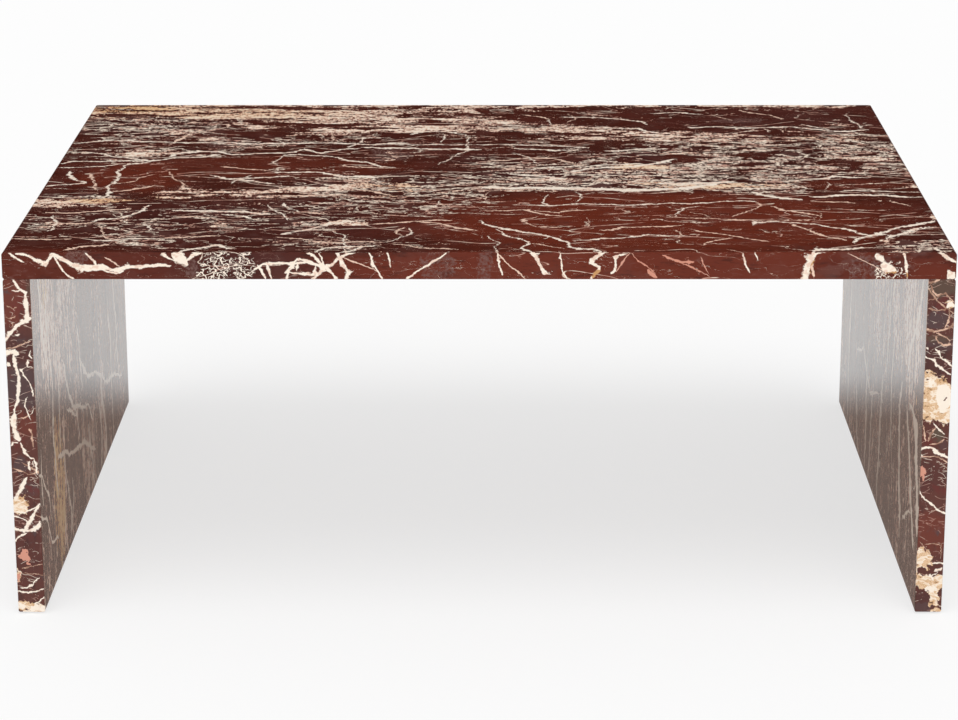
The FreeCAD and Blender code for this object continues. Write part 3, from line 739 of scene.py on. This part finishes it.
def polish(web, colour, roughness, shine):
    """Ends a stone material with its polished surface."""
    inputs = {"Base Color": colour, "Roughness": roughness, "Specular IOR Level": shine}
    shader = web.node("ShaderNodeBsdfPrincipled", inputs)
    web.node("ShaderNodeOutputMaterial", {"Surface": shader.outputs[0]})


# The tabletop's stone. level is 1 on the flat top and 0 on the edges, where all is drawn finer.


def top_smoke(web, place, drawn, netted):
    """Grey smoke: thin in the nets, and in wisps where its own ovals are."""
    smoky = web.fade(web.noise(place, size=34, detail=4, rough=0.6), 0.52, 0.61)
    smoky = web.times(smoky, web.line(netted, 0.4, 0.1))
    hazy = broken(web, place, patches(web, drawn, SMOKY_OVALS, edge=0.4), size=9, drawn_out=0.6)
    wisps = web.noise(web.stretch(place, (1, 3.3, 1)), size=3, detail=3)
    return web.most(smoky, web.times(hazy, web.fade(wisps, 0.3, 0.7)))


def top_threads(web, place, netted, patchy, level):
    """The threads of a wide net and of a close one, worn through in spots, and cracks across both."""
    width = web.plus(web.times(netted, 1.5), web.line(patchy, 5, -2.3))
    width = web.times(width, level)
    lines = threads(web, place, 62, width, drawn_out=2.4, flat=2.2, detail=5)
    width = web.times(web.line(netted, 1.7, -0.25), level)
    lines = web.most(lines, threads(web, place, 26, width, drawn_out=2.2, flat=2.2, detail=4))
    worn = web.noise(web.stretch(place, (1, 1.7, 1)), size=5, detail=4, rough=0.7)
    lines = web.times(lines, web.fade(worn, 0.4, 0.52))
    cracks = fine_cracks(web, place, 110, web.line(level, 0.14, 0.38), flat=2.4)
    return web.most(lines, web.times(cracks, 0.85))


def front_crackle(web, place, drawn):
    """The crackled patches on the front edge: a mesh of cream threads in two sizes."""
    lines = threads(web, place, size=12, width=0.8)
    lines = web.most(lines, threads(web, place, size=7, width=0.35))
    zone = broken(web, place, patches(web, drawn, CRACKLED_OVALS, edge=0.4), size=6, drawn_out=1)
    return web.times(lines, zone)


def top_paleness(web, drawn):
    """1 in the bands and patches where the pale grains close up."""
    u, v, _ = web.split(drawn)
    v_metres = web.math("DIVIDE", v, MM)
    pale = band(web, u, v_metres, *BACK_BAND, soft=22)
    pale = web.most(pale, band(web, u, v_metres, *BACK_RIM, soft=8))
    pale = web.most(pale, band(web, u, v_metres, *LEFT_BAND, soft=20))
    return web.most(pale, patches(web, drawn, PALE_OVALS, edge=0.45))


def top_grain_strength(web, place, pale, netted, clear, patchy, rust, level):
    """How thick the pale grains lie: most in the pale zones, some in the nets, less in the rust and on
    the edges. Long lens-shaped gaps part them."""
    strength = web.most(pale, web.line(netted, 0.7, -0.3))
    strength = web.times(strength, clear)
    strength = web.plus(strength, web.line(patchy, 1.6, -0.7))
    lens = web.noise(web.stretch(place, (4, 1, 1)), size=28, detail=2)
    strength = web.less(strength, web.times(web.fade(lens, 0.49, 0.56), 0.75))
    seam = web.fade(lens, 0.45, 0.38)
    strength = web.line(seam, web.times(netted, 0.35), strength)
    strength = web.plus(strength, web.line(rust, -0.4, -0.02))
    return web.plus(strength, web.line(level, 0.6, -0.6))


def tabletop_marble():
    """The tabletop's stone, from its dark body up to its cream veins."""
    material, web = new_material("tabletop_marble")
    place, normal = place_on_piece(web, unfold=True)
    level = web.fade(web.split(normal)[2], *FACING)
    far = web.line(level, 32, 6)
    near = web.line(level, 8, 3)
    drawn = wander(web, place, size=90, amount=far, detail=4, drawn_out=2.2)
    drawn = wander(web, drawn, size=10, amount=near, detail=4)

    rust = patches(web, drawn, RUST_OVALS, edge=0.3)
    plum = patches(web, drawn, PLUM_OVALS, edge=0.5)
    colour = ground(web, place, rust, plum, OXBLOOD)
    clear = web.less(1, patches(web, drawn, DARK_OVALS, edge=0.25))
    netted = web.times(patches(web, drawn, NET_OVALS, edge=0.5), clear)
    patchy = web.noise(web.stretch(place, (2, 1, 1)), size=48, detail=4, rough=0.6)
    colour = web.lay(colour, INK, netted, 0.45)
    colour = web.lay(colour, SMOKE, top_smoke(web, place, drawn, netted), 0.75)

    lines = top_threads(web, place, netted, patchy, level)
    bright = web.line(netted, 0.08, web.noise(place, size=22, detail=3, rough=0.6))
    colour = lay_threads(web, colour, lines, web.fade(bright, 0.44, 0.58))
    colour = web.mix(front_crackle(web, place, drawn), colour, BRIGHT_CREAM)

    pale = top_paleness(web, drawn)
    strength = top_grain_strength(web, place, pale, netted, clear, patchy, rust, level)
    cover, grains = pale_grains(web, place, strength)
    grains = web.lay(grains, GOLD_CAST, patches(web, drawn, GOLD_OVALS, edge=0.5), 0.85, "MULTIPLY")
    colour = web.mix(cover, colour, grains)

    waver = web.line(level, 9, 2.5)
    shake = web.line(level, 3.5, 1.3)
    wobbly = wander(web, place, size=30, amount=waver, detail=3, drawn_out=1.3)
    wobbly = wander(web, wobbly, size=4, amount=shake, detail=3)
    pink = web.mix(patches(web, place, APRICOT_OVALS, edge=0.3), VEIN_PINK, APRICOT)
    colour = draw_veins(web, colour, wobbly, TOP_PINK_ACROSS, TOP_PINK_DEEP, pink, slim=1.4)
    blush = web.fade(web.noise(place, size=9, detail=3, rough=0.6), 0.5, 0.6)
    cream = web.lay(BRIGHT_CREAM, CREAM_PINK, blush, 0.8)
    honey = broken(web, place, patches(web, place, HONEY_OVALS, edge=0.3), size=3, drawn_out=1)
    cream = web.mix(honey, cream, HONEY)
    slim = web.line(level, 0.4, 0.86)
    colour = draw_veins(web, colour, wobbly, TOP_CREAM_ACROSS, TOP_CREAM_DEEP, cream, slim)

    under = web.fade(web.times(web.split(normal)[2], -1), 0.5, 0.8)
    roughness = web.line(web.noise(place, size=60, detail=3), 0.1, 0.1)
    polish(web, colour, web.plus(roughness, web.times(under, 0.4)), TOP_SHINE)
    return material


# The legs' stone, on a sheet wrapped round each leg: mm across, with the front face from 0 to 30 and the
# large faces on either side of it, and mm up from the floor. Ovals and veins are as on the tabletop,
# with up in the place of back.

LEFT_DRAWING = {
    "rust": [(10, 365, 34, 60), (18, 225, 24, 30, 0.8), (14, 78, 40, 36, 0.5), (-150, 100, 240, 160)],
    "plum": [(15, 310, 40, 40), (15, 76, 40, 40, 0.7), (-400, 230, 500, 200)],
    "slate": [(15, 270, 44, 44), (20, 250, 24, 12), (10, 176, 15, 20), (18, 148, 24, 16, 0.7)],
    "olive": [(29, 380, 8, 20, 0.5)],
    "dark": [(8.5, 6, 5, 4, 1.2)],
    "pale": [
        (6, 128, 24, 22), (2, 44, 6, 12, 0.9), (6, 9, 16, 12), (22, 6, 18, 12), (140, 330, 140, 190, 0.7),
        (260, 280, 240, 140, 0.6), (176, 95, 90, 190, 0.8), (420, 60, 120, 150, 0.6),
        (560, 110, 60, 240, 0.6), (-280, 190, 190, 90, 0.5), (-560, 110, 260, 80, 0.5),
        (-700, 290, 180, 100, 0.5), (-90, 340, 120, 60, 0.6),
    ],
    "gold": [(176, 95, 90, 190), (120, 360, 60, 70, 0.6)],
    "core": [],
    "pink": [(9.4, 70, 9, 11), (14.5, 62, 3, 8), (2, 43, 4, 9, 0.9)],
    "tan_across": [
        (4.5, 170, 132, 210, 128, 260, 120, 320, 100, 380, 90, 430, 70, 480, 45),
        (3, 10, 180, 60, 150, 96, 120, 110, 84), (3, 20, 120, 70, 96, 100, 60, 150, 50),
        (4, 235, 240, 260, 200, 300, 160, 360, 145, 430, 120, 470, 90),
        (3, 250, 176, 300, 152, 340, 142, 352, 100),
        (4, 380, 190, 450, 150, 520, 140, 590, 100, 660, 92, 760, 60),
        (3, -760, 190, -640, 200, -540, 170, -430, 100, -330, 92),
        (1.5, -2, 311, 8.5, 311.7, 21, 317, 28, 320), (1.2, 19, 321.5, 23, 318),
        (1.3, -2, 173, 2.6, 172, 9.7, 170, 18, 165.7, 30, 168), (1.2, 9.7, 230, 18, 232, 25, 236),
        (1.3, 6, 55, 18, 57, 30, 59.7), (1, 6, 48.6, 18, 48, 30, 46.5), (1.2, 0, 347, 8, 346, 13, 349),
        (1.2, 3, 360, 10, 357, 14, 359),
    ],
    "tan_deep": [
        (6, 360, 245, 375, 200, 390, 155), (4, 300, 240, 292, 200), (5, 195, 260, 200, 200, 195, 140),
        (5, 420, 100, 440, 60, 460, 20), (4, 50, 190, 45, 150, 55, 120), (6, 75, 390, 100, 300, 120, 260),
        (4, 220, 110, 240, 70, 260, 40, 245, 8), (4, 270, 80, 280, 50, 260, 20),
        (8, 550, 110, 575, 60, 580, 5), (6, 535, 100, 540, 50, 530, 0),
        (5, 135, 320, 150, 240, 140, 180, 160, 90), (5, 640, 200, 655, 120, 650, 10),
        (5, 720, 300, 700, 200, 730, 60), (1.8, 22, 220, 24, 214, 24.7, 206, 25.5, 198),
        (1.2, 10, 343, 8, 335), (3, -420, 391, -410, 330, -440, 250, -420, 160),
    ],
    "cream_across": [
        (2, 10, 378, 14, 375.5, 18.5, 377), (7, -6, 306, 2, 307, 8, 307, 14, 305), (2, 11, 327, 17, 327),
        (2, 22, 291, 29, 290), (4, 1, 294, 3, 293, 5, 292), (2.5, 18.6, 185.7, 22.6, 184.3, 26, 183),
        (1.5, 0, 198, 4, 203, 9, 202), (2, -4, 120, 1, 121.4, 12.3, 120, 19.4, 123.6, 25, 127, 31, 132),
        (1.6, -2, 118, 1, 116.4, 5.5, 115, 12.3, 111.4, 16, 110),
        (3.5, -6, 103, 0, 101.4, 5, 100, 13.7, 99.3, 22.3, 100.7, 26.6, 103.6, 30, 110),
        (2.5, -2, 85, 0.3, 87, 3, 90.7, 8, 93.6, 13.7, 96.4),
        (1.8, -6, 28, 1, 26.9, 9.4, 25.4, 19.4, 26.9, 30, 30),
        (1.8, 3, 30.5, 10.9, 31.4, 17, 34, 20, 38, 25, 44), (4, 12, 33, 15, 34, 18, 35),
        (1.5, 17, 10.7, 25, 15.7, 32, 21), (7, -4, 11, 2, 10, 7, 8), (9, 13, 5, 20, 7, 27, 5, 32, 4),
        (4, 4, 2, 16, 2),
        (4, -640, 60, -560, 92, -470, 110, -400, 150, -320, 162, -250, 210, -150, 228, -60, 262, -9, 300,
         2, 306),
        (6, -790, 330, -720, 318, -660, 282, -600, 268, -520, 222, -450, 214, -400, 186),
        (3, -520, 222, -470, 262, -420, 276, -350, 318, -300, 326),
        (3, -300, 60, -240, 44, -170, 52, -110, 30, -50, 36),
    ],
    "cream_deep": [
        (3.5, 12, 391, 13.5, 386, 17, 380, 20, 377.5, 24, 375.5, 25, 369, 24.5, 358),
        (5.5, 24.5, 372, 24.5, 366, 25, 355, 25.5, 340),
        (4.5, 29, 347, 25, 344, 20, 341, 15, 338, 10, 333, 5, 328.5, 1, 323, -4, 312),
        (4.2, 10, 310, 8.5, 300, 9.5, 292, 11.5, 284, 13, 277, 12.5, 268, 11.3, 258, 10, 248),
        (2.5, 11, 259, 8.5, 247, 6.5, 241, 5.5, 230), (7, 6.5, 238, 5, 228, 5.5, 217, 7.5, 211, 9, 204),
        (1.6, 14, 289, 16, 287, 19, 280, 22, 276, 25, 270, 27, 263, 28, 256), (2.5, 23.5, 298, 22, 291),
        (1.5, 27, 310, 26, 304, 28, 299), (3.2, 12, 203, 12.6, 197, 15.4, 191.4, 19, 185.7),
        (2.5, 25.4, 183, 27.6, 177, 28.5, 165), (2, 19.7, 181, 18.6, 175.7, 20.4, 170),
        (1.8, 23.5, 181, 25, 174), (4.6, 16, 162, 14, 157, 9.7, 150, 5.4, 143, 2, 136),
        (4.2, 28.5, 130, 23.7, 121.4, 19.4, 114, 16.6, 108.6, 13.7, 102.9, 10, 96.4),
        (1.2, 21, 256, 17.6, 246, 20.4, 239, 22.6, 233, 24, 228), (1.2, 27, 245, 26, 236),
        (4, -690, 0, -672, 70, -680, 130, -650, 200, -628, 262),
        (3, -250, 212, -262, 270, -240, 330, -246, 391),
        (3, -120, 0, -134, 60, -118, 120, -128, 190, -112, 240),
    ],
}
RIGHT_DRAWING = {
    "rust": [(15, 97, 44, 50), (15, 160, 40, 40, 0.6), (200, 200, 260, 200)],
    "plum": [(12, 162, 44, 40, 0.8), (15, 300, 40, 34), (7, 19, 16, 14), (420, 120, 380, 180)],
    "slate": [(11, 344, 24, 24), (14, 315, 36, 12, 0.8), (8, 8, 24, 10, 0.8), (24, 200, 12, 12, 0.6)],
    "olive": [(15.4, 210, 15, 15), (15, 380, 34, 20, 0.8), (12, 322, 30, 10, 0.7)],
    "dark": [
        (17, 56, 10, 6, 1.3), (6, 49, 8, 8, 1.2), (26, 47, 9, 4, 1.3), (6, 17, 15, 22, 1.3),
        (28, 12, 7, 12, 1.2), (24, 255, 4, 3), (3, 276, 3, 3),
    ],
    "pale": [
        (5, 272, 26, 28), (17, 266, 26, 26), (26, 260, 18, 20), (8, 244, 32, 36), (24, 244, 28, 36),
        (25, 361, 9, 6), (4, 66, 14, 24), (11, 62, 14, 20), (12, 38, 32, 18), (24, 40, 16, 20),
        (20, 22, 14, 26), (25, 3, 16, 5, 0.8), (2, 51, 8, 8), (-100, 300, 120, 170, 0.8),
        (-200, 300, 160, 160, 0.55), (-400, 250, 200, 160, 0.5), (330, 280, 220, 100, 0.5),
        (620, 210, 260, 90, 0.5), (150, 70, 150, 70, 0.5), (520, 60, 190, 80, 0.5),
    ],
    "gold": [(-60, 200, 90, 120, 0.5), (330, 280, 120, 60, 0.6)],
    "core": [(22, 256, 18, 30), (19, 48, 16, 7), (17, 30, 14, 7), (8, 272, 8, 10, 0.7)],
    "pink": [(2, 167, 6, 15)],
    "tan_across": [
        (2.5, -2, 386, 2, 387, 8.6, 388, 15, 391),
        (1.5, 2, 384, 5.7, 377, 10, 371, 18.6, 374, 23, 370, 30, 363.6),
        (1.8, 0, 380, 7, 370, 14.3, 363, 21.4, 357, 30, 350), (1.5, 0, 366, 9, 369),
        (2, 1.4, 357, 8.6, 355, 18.6, 355.7, 22, 360),
        (3, -2, 334, 8.6, 330.7, 18.6, 332, 27, 336.4, 31, 341),
        (2.5, 10, 325, 13.6, 319, 20, 315, 29, 316.4), (1.5, 10, 330, 15.7, 327, 22.9, 324, 29, 319),
        (1.8, 0, 187, 1, 186.4, 8.3, 185.7, 15.4, 186.4, 24, 182.9, 30, 179.3),
        (1.8, 9, 200, 19.7, 203, 25, 207), (1, 2, 87, 10.9, 75.7, 15, 70), (1, 8, 82, 16, 84, 26, 82),
        (3, -130, 65, -100, 82, -70, 95), (4, -620, 130, -540, 150, -460, 120, -380, 140),
    ],
    "tan_deep": [
        (15, -90, 220, -60, 215, -40, 180, -20, 130, -8, 90), (10, -125, 210, -90, 160, -60, 100, -30, 60),
        (10, -175, 220, -190, 180, -170, 120, -150, 40), (9, -345, 180, -355, 120, -360, 5),
        (7, -430, 140, -445, 60, -450, 5), (7, -500, 150, -490, 80, -490, 5),
        (6, -600, 90, -590, 40, -560, 5), (5, -250, 260, -262, 180, -240, 90),
        (6, -30, 390, -60, 330, -110, 290, -130, 240), (5, -680, 240, -700, 120, -690, 10),
        (5, -290, 330, -300, 250, -320, 190), (2, 15.4, 221, 9.7, 213, 6.9, 203),
        (2, 1, 224, 3, 212, 5, 203), (1.5, 22.9, 356, 25, 348.6, 23.6, 341, 20, 334),
        (0.8, 26.6, 84, 27, 66),
    ],
    "cream_across": [
        (2.2, -3, 150, 0.4, 144.3, 2.6, 140, 6.9, 135.7, 14, 130.5, 19.4, 124.3, 30, 119.3, 40, 112),
        (4, -4, 194, 1, 195.5, 9.7, 197, 12.6, 195.5, 16, 191.4, 22.6, 188.6, 30, 185.7, 40, 186),
        (2.2, 10, 311, 15.7, 305.7, 17, 301.4, 22.9, 297, 30, 291.4, 40, 288),
        (2.2, -2, 303, 1.4, 301.4, 10, 297.9, 12, 292.9, 18.6, 288.6, 29.3, 281.4),
        (1.8, 12, 225.7, 16.9, 220, 21.9, 215, 25, 212.9), (2, 17, 60, 26.6, 61.4, 32, 60),
        (5, 21, 359, 25, 362, 30, 359), (3, 0, 312, 3, 311), (4, 20, 51, 25, 53, 29, 54),
        (5, 60, 92, 140, 70, 230, 110, 300, 118, 390, 170, 480, 190, 560, 236, 650, 240),
        (7, 230, 330, 310, 300, 380, 296, 450, 250, 520, 246, 610, 196, 700, 170, 820, 150),
        (3, 450, 250, 500, 300, 560, 318, 620, 360), (3, 40, 250, 110, 262, 180, 240, 250, 256),
    ],
    "cream_deep": [
        (2.5, -3, 190, 2, 186), (4, 120, 0, 132, 60, 118, 120, 140, 190, 128, 270),
        (3, 560, 0, 548, 70, 566, 140, 552, 210), (3, 700, 391, 690, 300, 716, 230),
        (5, 300, 391, 318, 340, 304, 290),
    ],
}

# The back face's place along the sheet is past all that is drawn.

BACK_FACE_SHIFT = 3000
SWIRL_STOPS = [
    (0.28, COFFEE), (0.33, HONEY), (0.42, PEACH), (0.47, HONEY), (0.5, PEACH), (0.6, BRIGHT_CREAM),
    (0.68, PEACH),
]


def leg_lining_and_painted_haze(web, tall, y, z):
    """The inner faces' tone: coffee brown and streaked, and lighter to the top and the back, which is
    painted reflection haze.
    """
    # Painted reflection: the inner face turns lighter to the top and the back, as a mirrored bright floor
    # would make it.
    painted_haze = web.fade(web.line(y, 0.3, z), 40, 330)
    grain = web.noise(web.stretch(tall, (3, 1, 1)), size=14, detail=6, rough=0.7)
    lining = web.mix(painted_haze, COFFEE, HAZE_PALE_COFFEE)
    lining = web.mix(web.fade(grain, 0.52, 0.4), lining, COFFEE)
    return web.lay(lining, GRAIN_TAN, web.fade(grain, 0.56, 0.68), 0.7)


def leg_threads(web, place, tall, sheet, patchy, away):
    """The threads of a net, worn through in spots and not on the front, and fine cracks all over."""
    width = web.times(web.line(patchy, 6, -2), away)
    lines = threads(web, tall, size=60, width=width, drawn_out=2.2, detail=5)
    worn = web.noise(place, size=7, detail=4, rough=0.7)
    lines = web.times(lines, web.fade(worn, 0.4, 0.54))
    return web.most(lines, web.times(fine_cracks(web, sheet, size=22, width=0.26), 0.8))


def clotted_cream(web, sheet, drawn, cores):
    """The colour of the front's solid cream patches: peach and honey swirls, brightest in their cores."""
    bent = wander(web, web.stretch(sheet, (1.7, 1, 1)), size=10, amount=6, detail=3)
    swirl = web.line(web.noise(bent, size=8, detail=5, rough=0.65), 1.5, -0.25)
    cream = web.tones(swirl, SWIRL_STOPS)
    if cores:
        core = broken(web, sheet, patches(web, drawn, cores, edge=0.4), size=7, drawn_out=1.2)
        cream = web.mix(core, cream, BRIGHT_CREAM)
    return cream


def leg_marble(name, face_start, inward, drawing):
    """The stone of one leg. face_start is the place across the table, in mm, where the wrapped sheet has
    its 0. inward is 1 or -1, the way the inner face looks."""
    material, web = new_material(name)
    place, normal = place_on_piece(web)
    x, y, z = web.split(place)
    normal_x, normal_y, _ = web.split(normal)
    run = web.plus(y, HALF_DEPTH * MM)
    across = web.plus(web.less(x, face_start), web.times(normal_x, run))
    behind = web.times(web.most(normal_y, 0), BACK_FACE_SHIFT)
    sheet = web.join(web.plus(across, behind), z, 0)
    inner = web.fade(web.times(normal_x, inward), *FACING)
    front = web.fade(web.times(normal_y, -1), *FACING)
    tall = web.join(web.times(z, web.line(inner, -0.55, 1)), y, x)
    drawn = wander(web, wander(web, sheet, size=14, amount=7, detail=3), size=5, amount=5, detail=4)

    def zone(kind, edge):
        return patches(web, drawn, drawing[kind], edge)

    rust = zone("rust", 0.3)
    colour = ground(web, tall, rust, zone("plum", 0.3), LEG_BODY)
    shade = web.noise(drawn, size=26, detail=4, rough=0.6)
    slate = web.most(zone("slate", 0.3), web.fade(shade, 0.42, 0.34))
    colour = web.lay(colour, SLATE, slate, 0.85)
    colour = web.mix(zone("olive", 0.35), colour, OLIVE_BROWN)
    colour = web.lay(colour, BLOOD, web.fade(shade, 0.55, 0.66), 0.6)
    # The inner faces' coffee lining carries the painted reflection haze.
    colour = web.lay(colour, leg_lining_and_painted_haze(web, tall, y, z), inner, 0.85)

    patchy = web.noise(tall, size=60, detail=4, rough=0.6)
    away = web.less(1, front)
    lines = leg_threads(web, place, tall, sheet, patchy, away)
    bright = web.fade(web.noise(tall, size=30, detail=3, rough=0.6), 0.4, 0.6)
    colour = lay_threads(web, colour, lines, bright)

    dark = zone("dark", 0.2)
    pale = web.less(zone("pale", 0.35), dark)
    cover, grains = pale_grains(web, tall, web.plus(pale, web.line(patchy, 2.2, -0.8)))
    gold = broken(web, tall, zone("gold", 0.4), size=20)
    grains = web.lay(grains, OLIVE_CAST, gold, 0.9, "MULTIPLY")
    colour = web.mix(web.times(cover, away), colour, grains)
    cream = clotted_cream(web, sheet, drawn, drawing["core"])
    solid = web.times(broken(web, sheet, pale, size=6, drawn_out=1.2), front)
    colour = web.mix(solid, colour, cream)
    colour = web.mix(broken(web, sheet, zone("pink", 0.3), size=5, drawn_out=1), colour, APRICOT)

    loose = wander(web, sheet, size=60, amount=web.times(away, 16), detail=4)
    wobbly = wander(web, wander(web, loose, size=12, amount=1.6, detail=2), size=3, amount=1.5, detail=3)
    light = web.fade(web.noise(sheet, size=12, detail=3, rough=0.6), 0.42, 0.58)
    light = web.most(light, away)
    tan = web.mix(light, TAN_BROWN, web.mix(away, PALE_TAN, GRAIN_LIGHT))
    slim = web.line(away, -0.35, 1)
    colour = draw_veins(web, colour, wobbly, drawing["tan_across"], drawing["tan_deep"], tan, slim)
    blush = web.fade(web.noise(sheet, size=7, detail=3, rough=0.6), 0.54, 0.64)
    cream = web.lay(BRIGHT_CREAM, CREAM_PINK, blush, 0.7)
    colour = draw_veins(web, colour, wobbly, drawing["cream_across"], drawing["cream_deep"], cream)
    polish(web, colour, web.line(web.noise(tall, size=30, detail=3), 0.14, 0.07), LEG_SHINE)
    return material


# The fixings and the pads. Reliefs are in metres.

STEEL_RELIEF = 0.00004
TURNED_RELIEF = 0.00002
FELT_RELIEF = 0.0004


def finish(web, colour, roughness, metallic, height, relief):
    """Ends a small part's material, with its fine relief."""
    bump = web.node("ShaderNodeBump", {"Height": height, "Strength": 0.5, "Distance": relief})
    inputs = {"Base Color": colour, "Roughness": roughness, "Metallic": metallic, "Normal": bump.outputs[0]}
    shader = web.node("ShaderNodeBsdfPrincipled", inputs)
    web.node("ShaderNodeOutputMaterial", {"Surface": shader.outputs[0]})


def satin_steel():
    """Bent steel plate, brushed along the table's depth."""
    material, web = new_material("bracket_satin_steel")
    place, _ = place_on_piece(web)
    brushed = web.noise(web.vector("MULTIPLY", place, (1, 0.03, 1)), size=0.5, detail=4, rough=0.6)
    cloud = web.noise(place, size=12, detail=3)
    colour = web.tones(brushed, list(zip((0.3, 0.55, 0.75), STEEL_TONES)))
    roughness = web.line(brushed, 0.25, web.line(cloud, 0.12, 0.2))
    finish(web, colour, roughness, metallic=1.0, height=brushed, relief=STEEL_RELIEF)
    return material


def turned_metal(name, tones):
    """Turned bar, with fine tool lines square to the table's depth."""
    material, web = new_material(name)
    place, _ = place_on_piece(web)
    rings = web.noise(web.vector("MULTIPLY", place, (0.1, 1, 0.1)), size=0.35, detail=3, rough=0.6)
    cloud = web.noise(place, size=4, detail=3)
    shade = web.plus(rings, web.line(cloud, 0.4, -0.2))
    colour = web.tones(shade, list(zip((0.3, 0.5, 0.75), tones)))
    roughness = web.line(cloud, 0.2, 0.15)
    finish(web, colour, roughness, metallic=1.0, height=rings, relief=TURNED_RELIEF)
    return material


def pressed_felt():
    """Dense wool felt: short fibres lying every way, with pale and dark ones among them."""
    material, web = new_material("pad_pressed_felt")
    place, _ = place_on_piece(web)
    bent = wander(web, place, size=3, amount=2.5, detail=3)
    fibres = web.noise(web.vector("MULTIPLY", bent, (0.25, 1, 1)), size=0.5, detail=4, rough=0.65)
    crossing = web.noise(web.vector("MULTIPLY", bent, (1, 0.25, 1)), size=0.5, detail=4, rough=0.65)
    wool = web.times(web.plus(fibres, crossing), 0.5)
    colour = web.tones(wool, list(zip((0.38, 0.5, 0.62), FELT_TONES)))
    finish(web, colour, roughness=0.95, metallic=0.0, height=wool, relief=FELT_RELIEF)
    return material


def nodes_ending(*endings):
    return sorted(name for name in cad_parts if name.endswith(endings))


def give(nodes, material):
    """Puts a material on CAD nodes, in the slots that they have."""
    for name in nodes:
        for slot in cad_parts[name].material_slots:
            slot.material = material


LEFT_FACE = -HALF_LENGTH * MM
RIGHT_FACE = (HALF_LENGTH - LEG_THICKNESS) * MM
give(["tabletop_slab"], tabletop_marble())
give(["left_leg_slab"], leg_marble("left_leg_marble", LEFT_FACE, 1, LEFT_DRAWING))
give(["right_leg_slab"], leg_marble("right_leg_marble", RIGHT_FACE, -1, RIGHT_DRAWING))
give(nodes_ending("bracket"), satin_steel())
give(nodes_ending("screws", "washers", "dowel"), turned_metal("turned_stainless", STAINLESS_TONES))
give(nodes_ending("inserts"), turned_metal("turned_brass", BRASS_TONES))
give(nodes_ending("foot_pad"), pressed_felt())
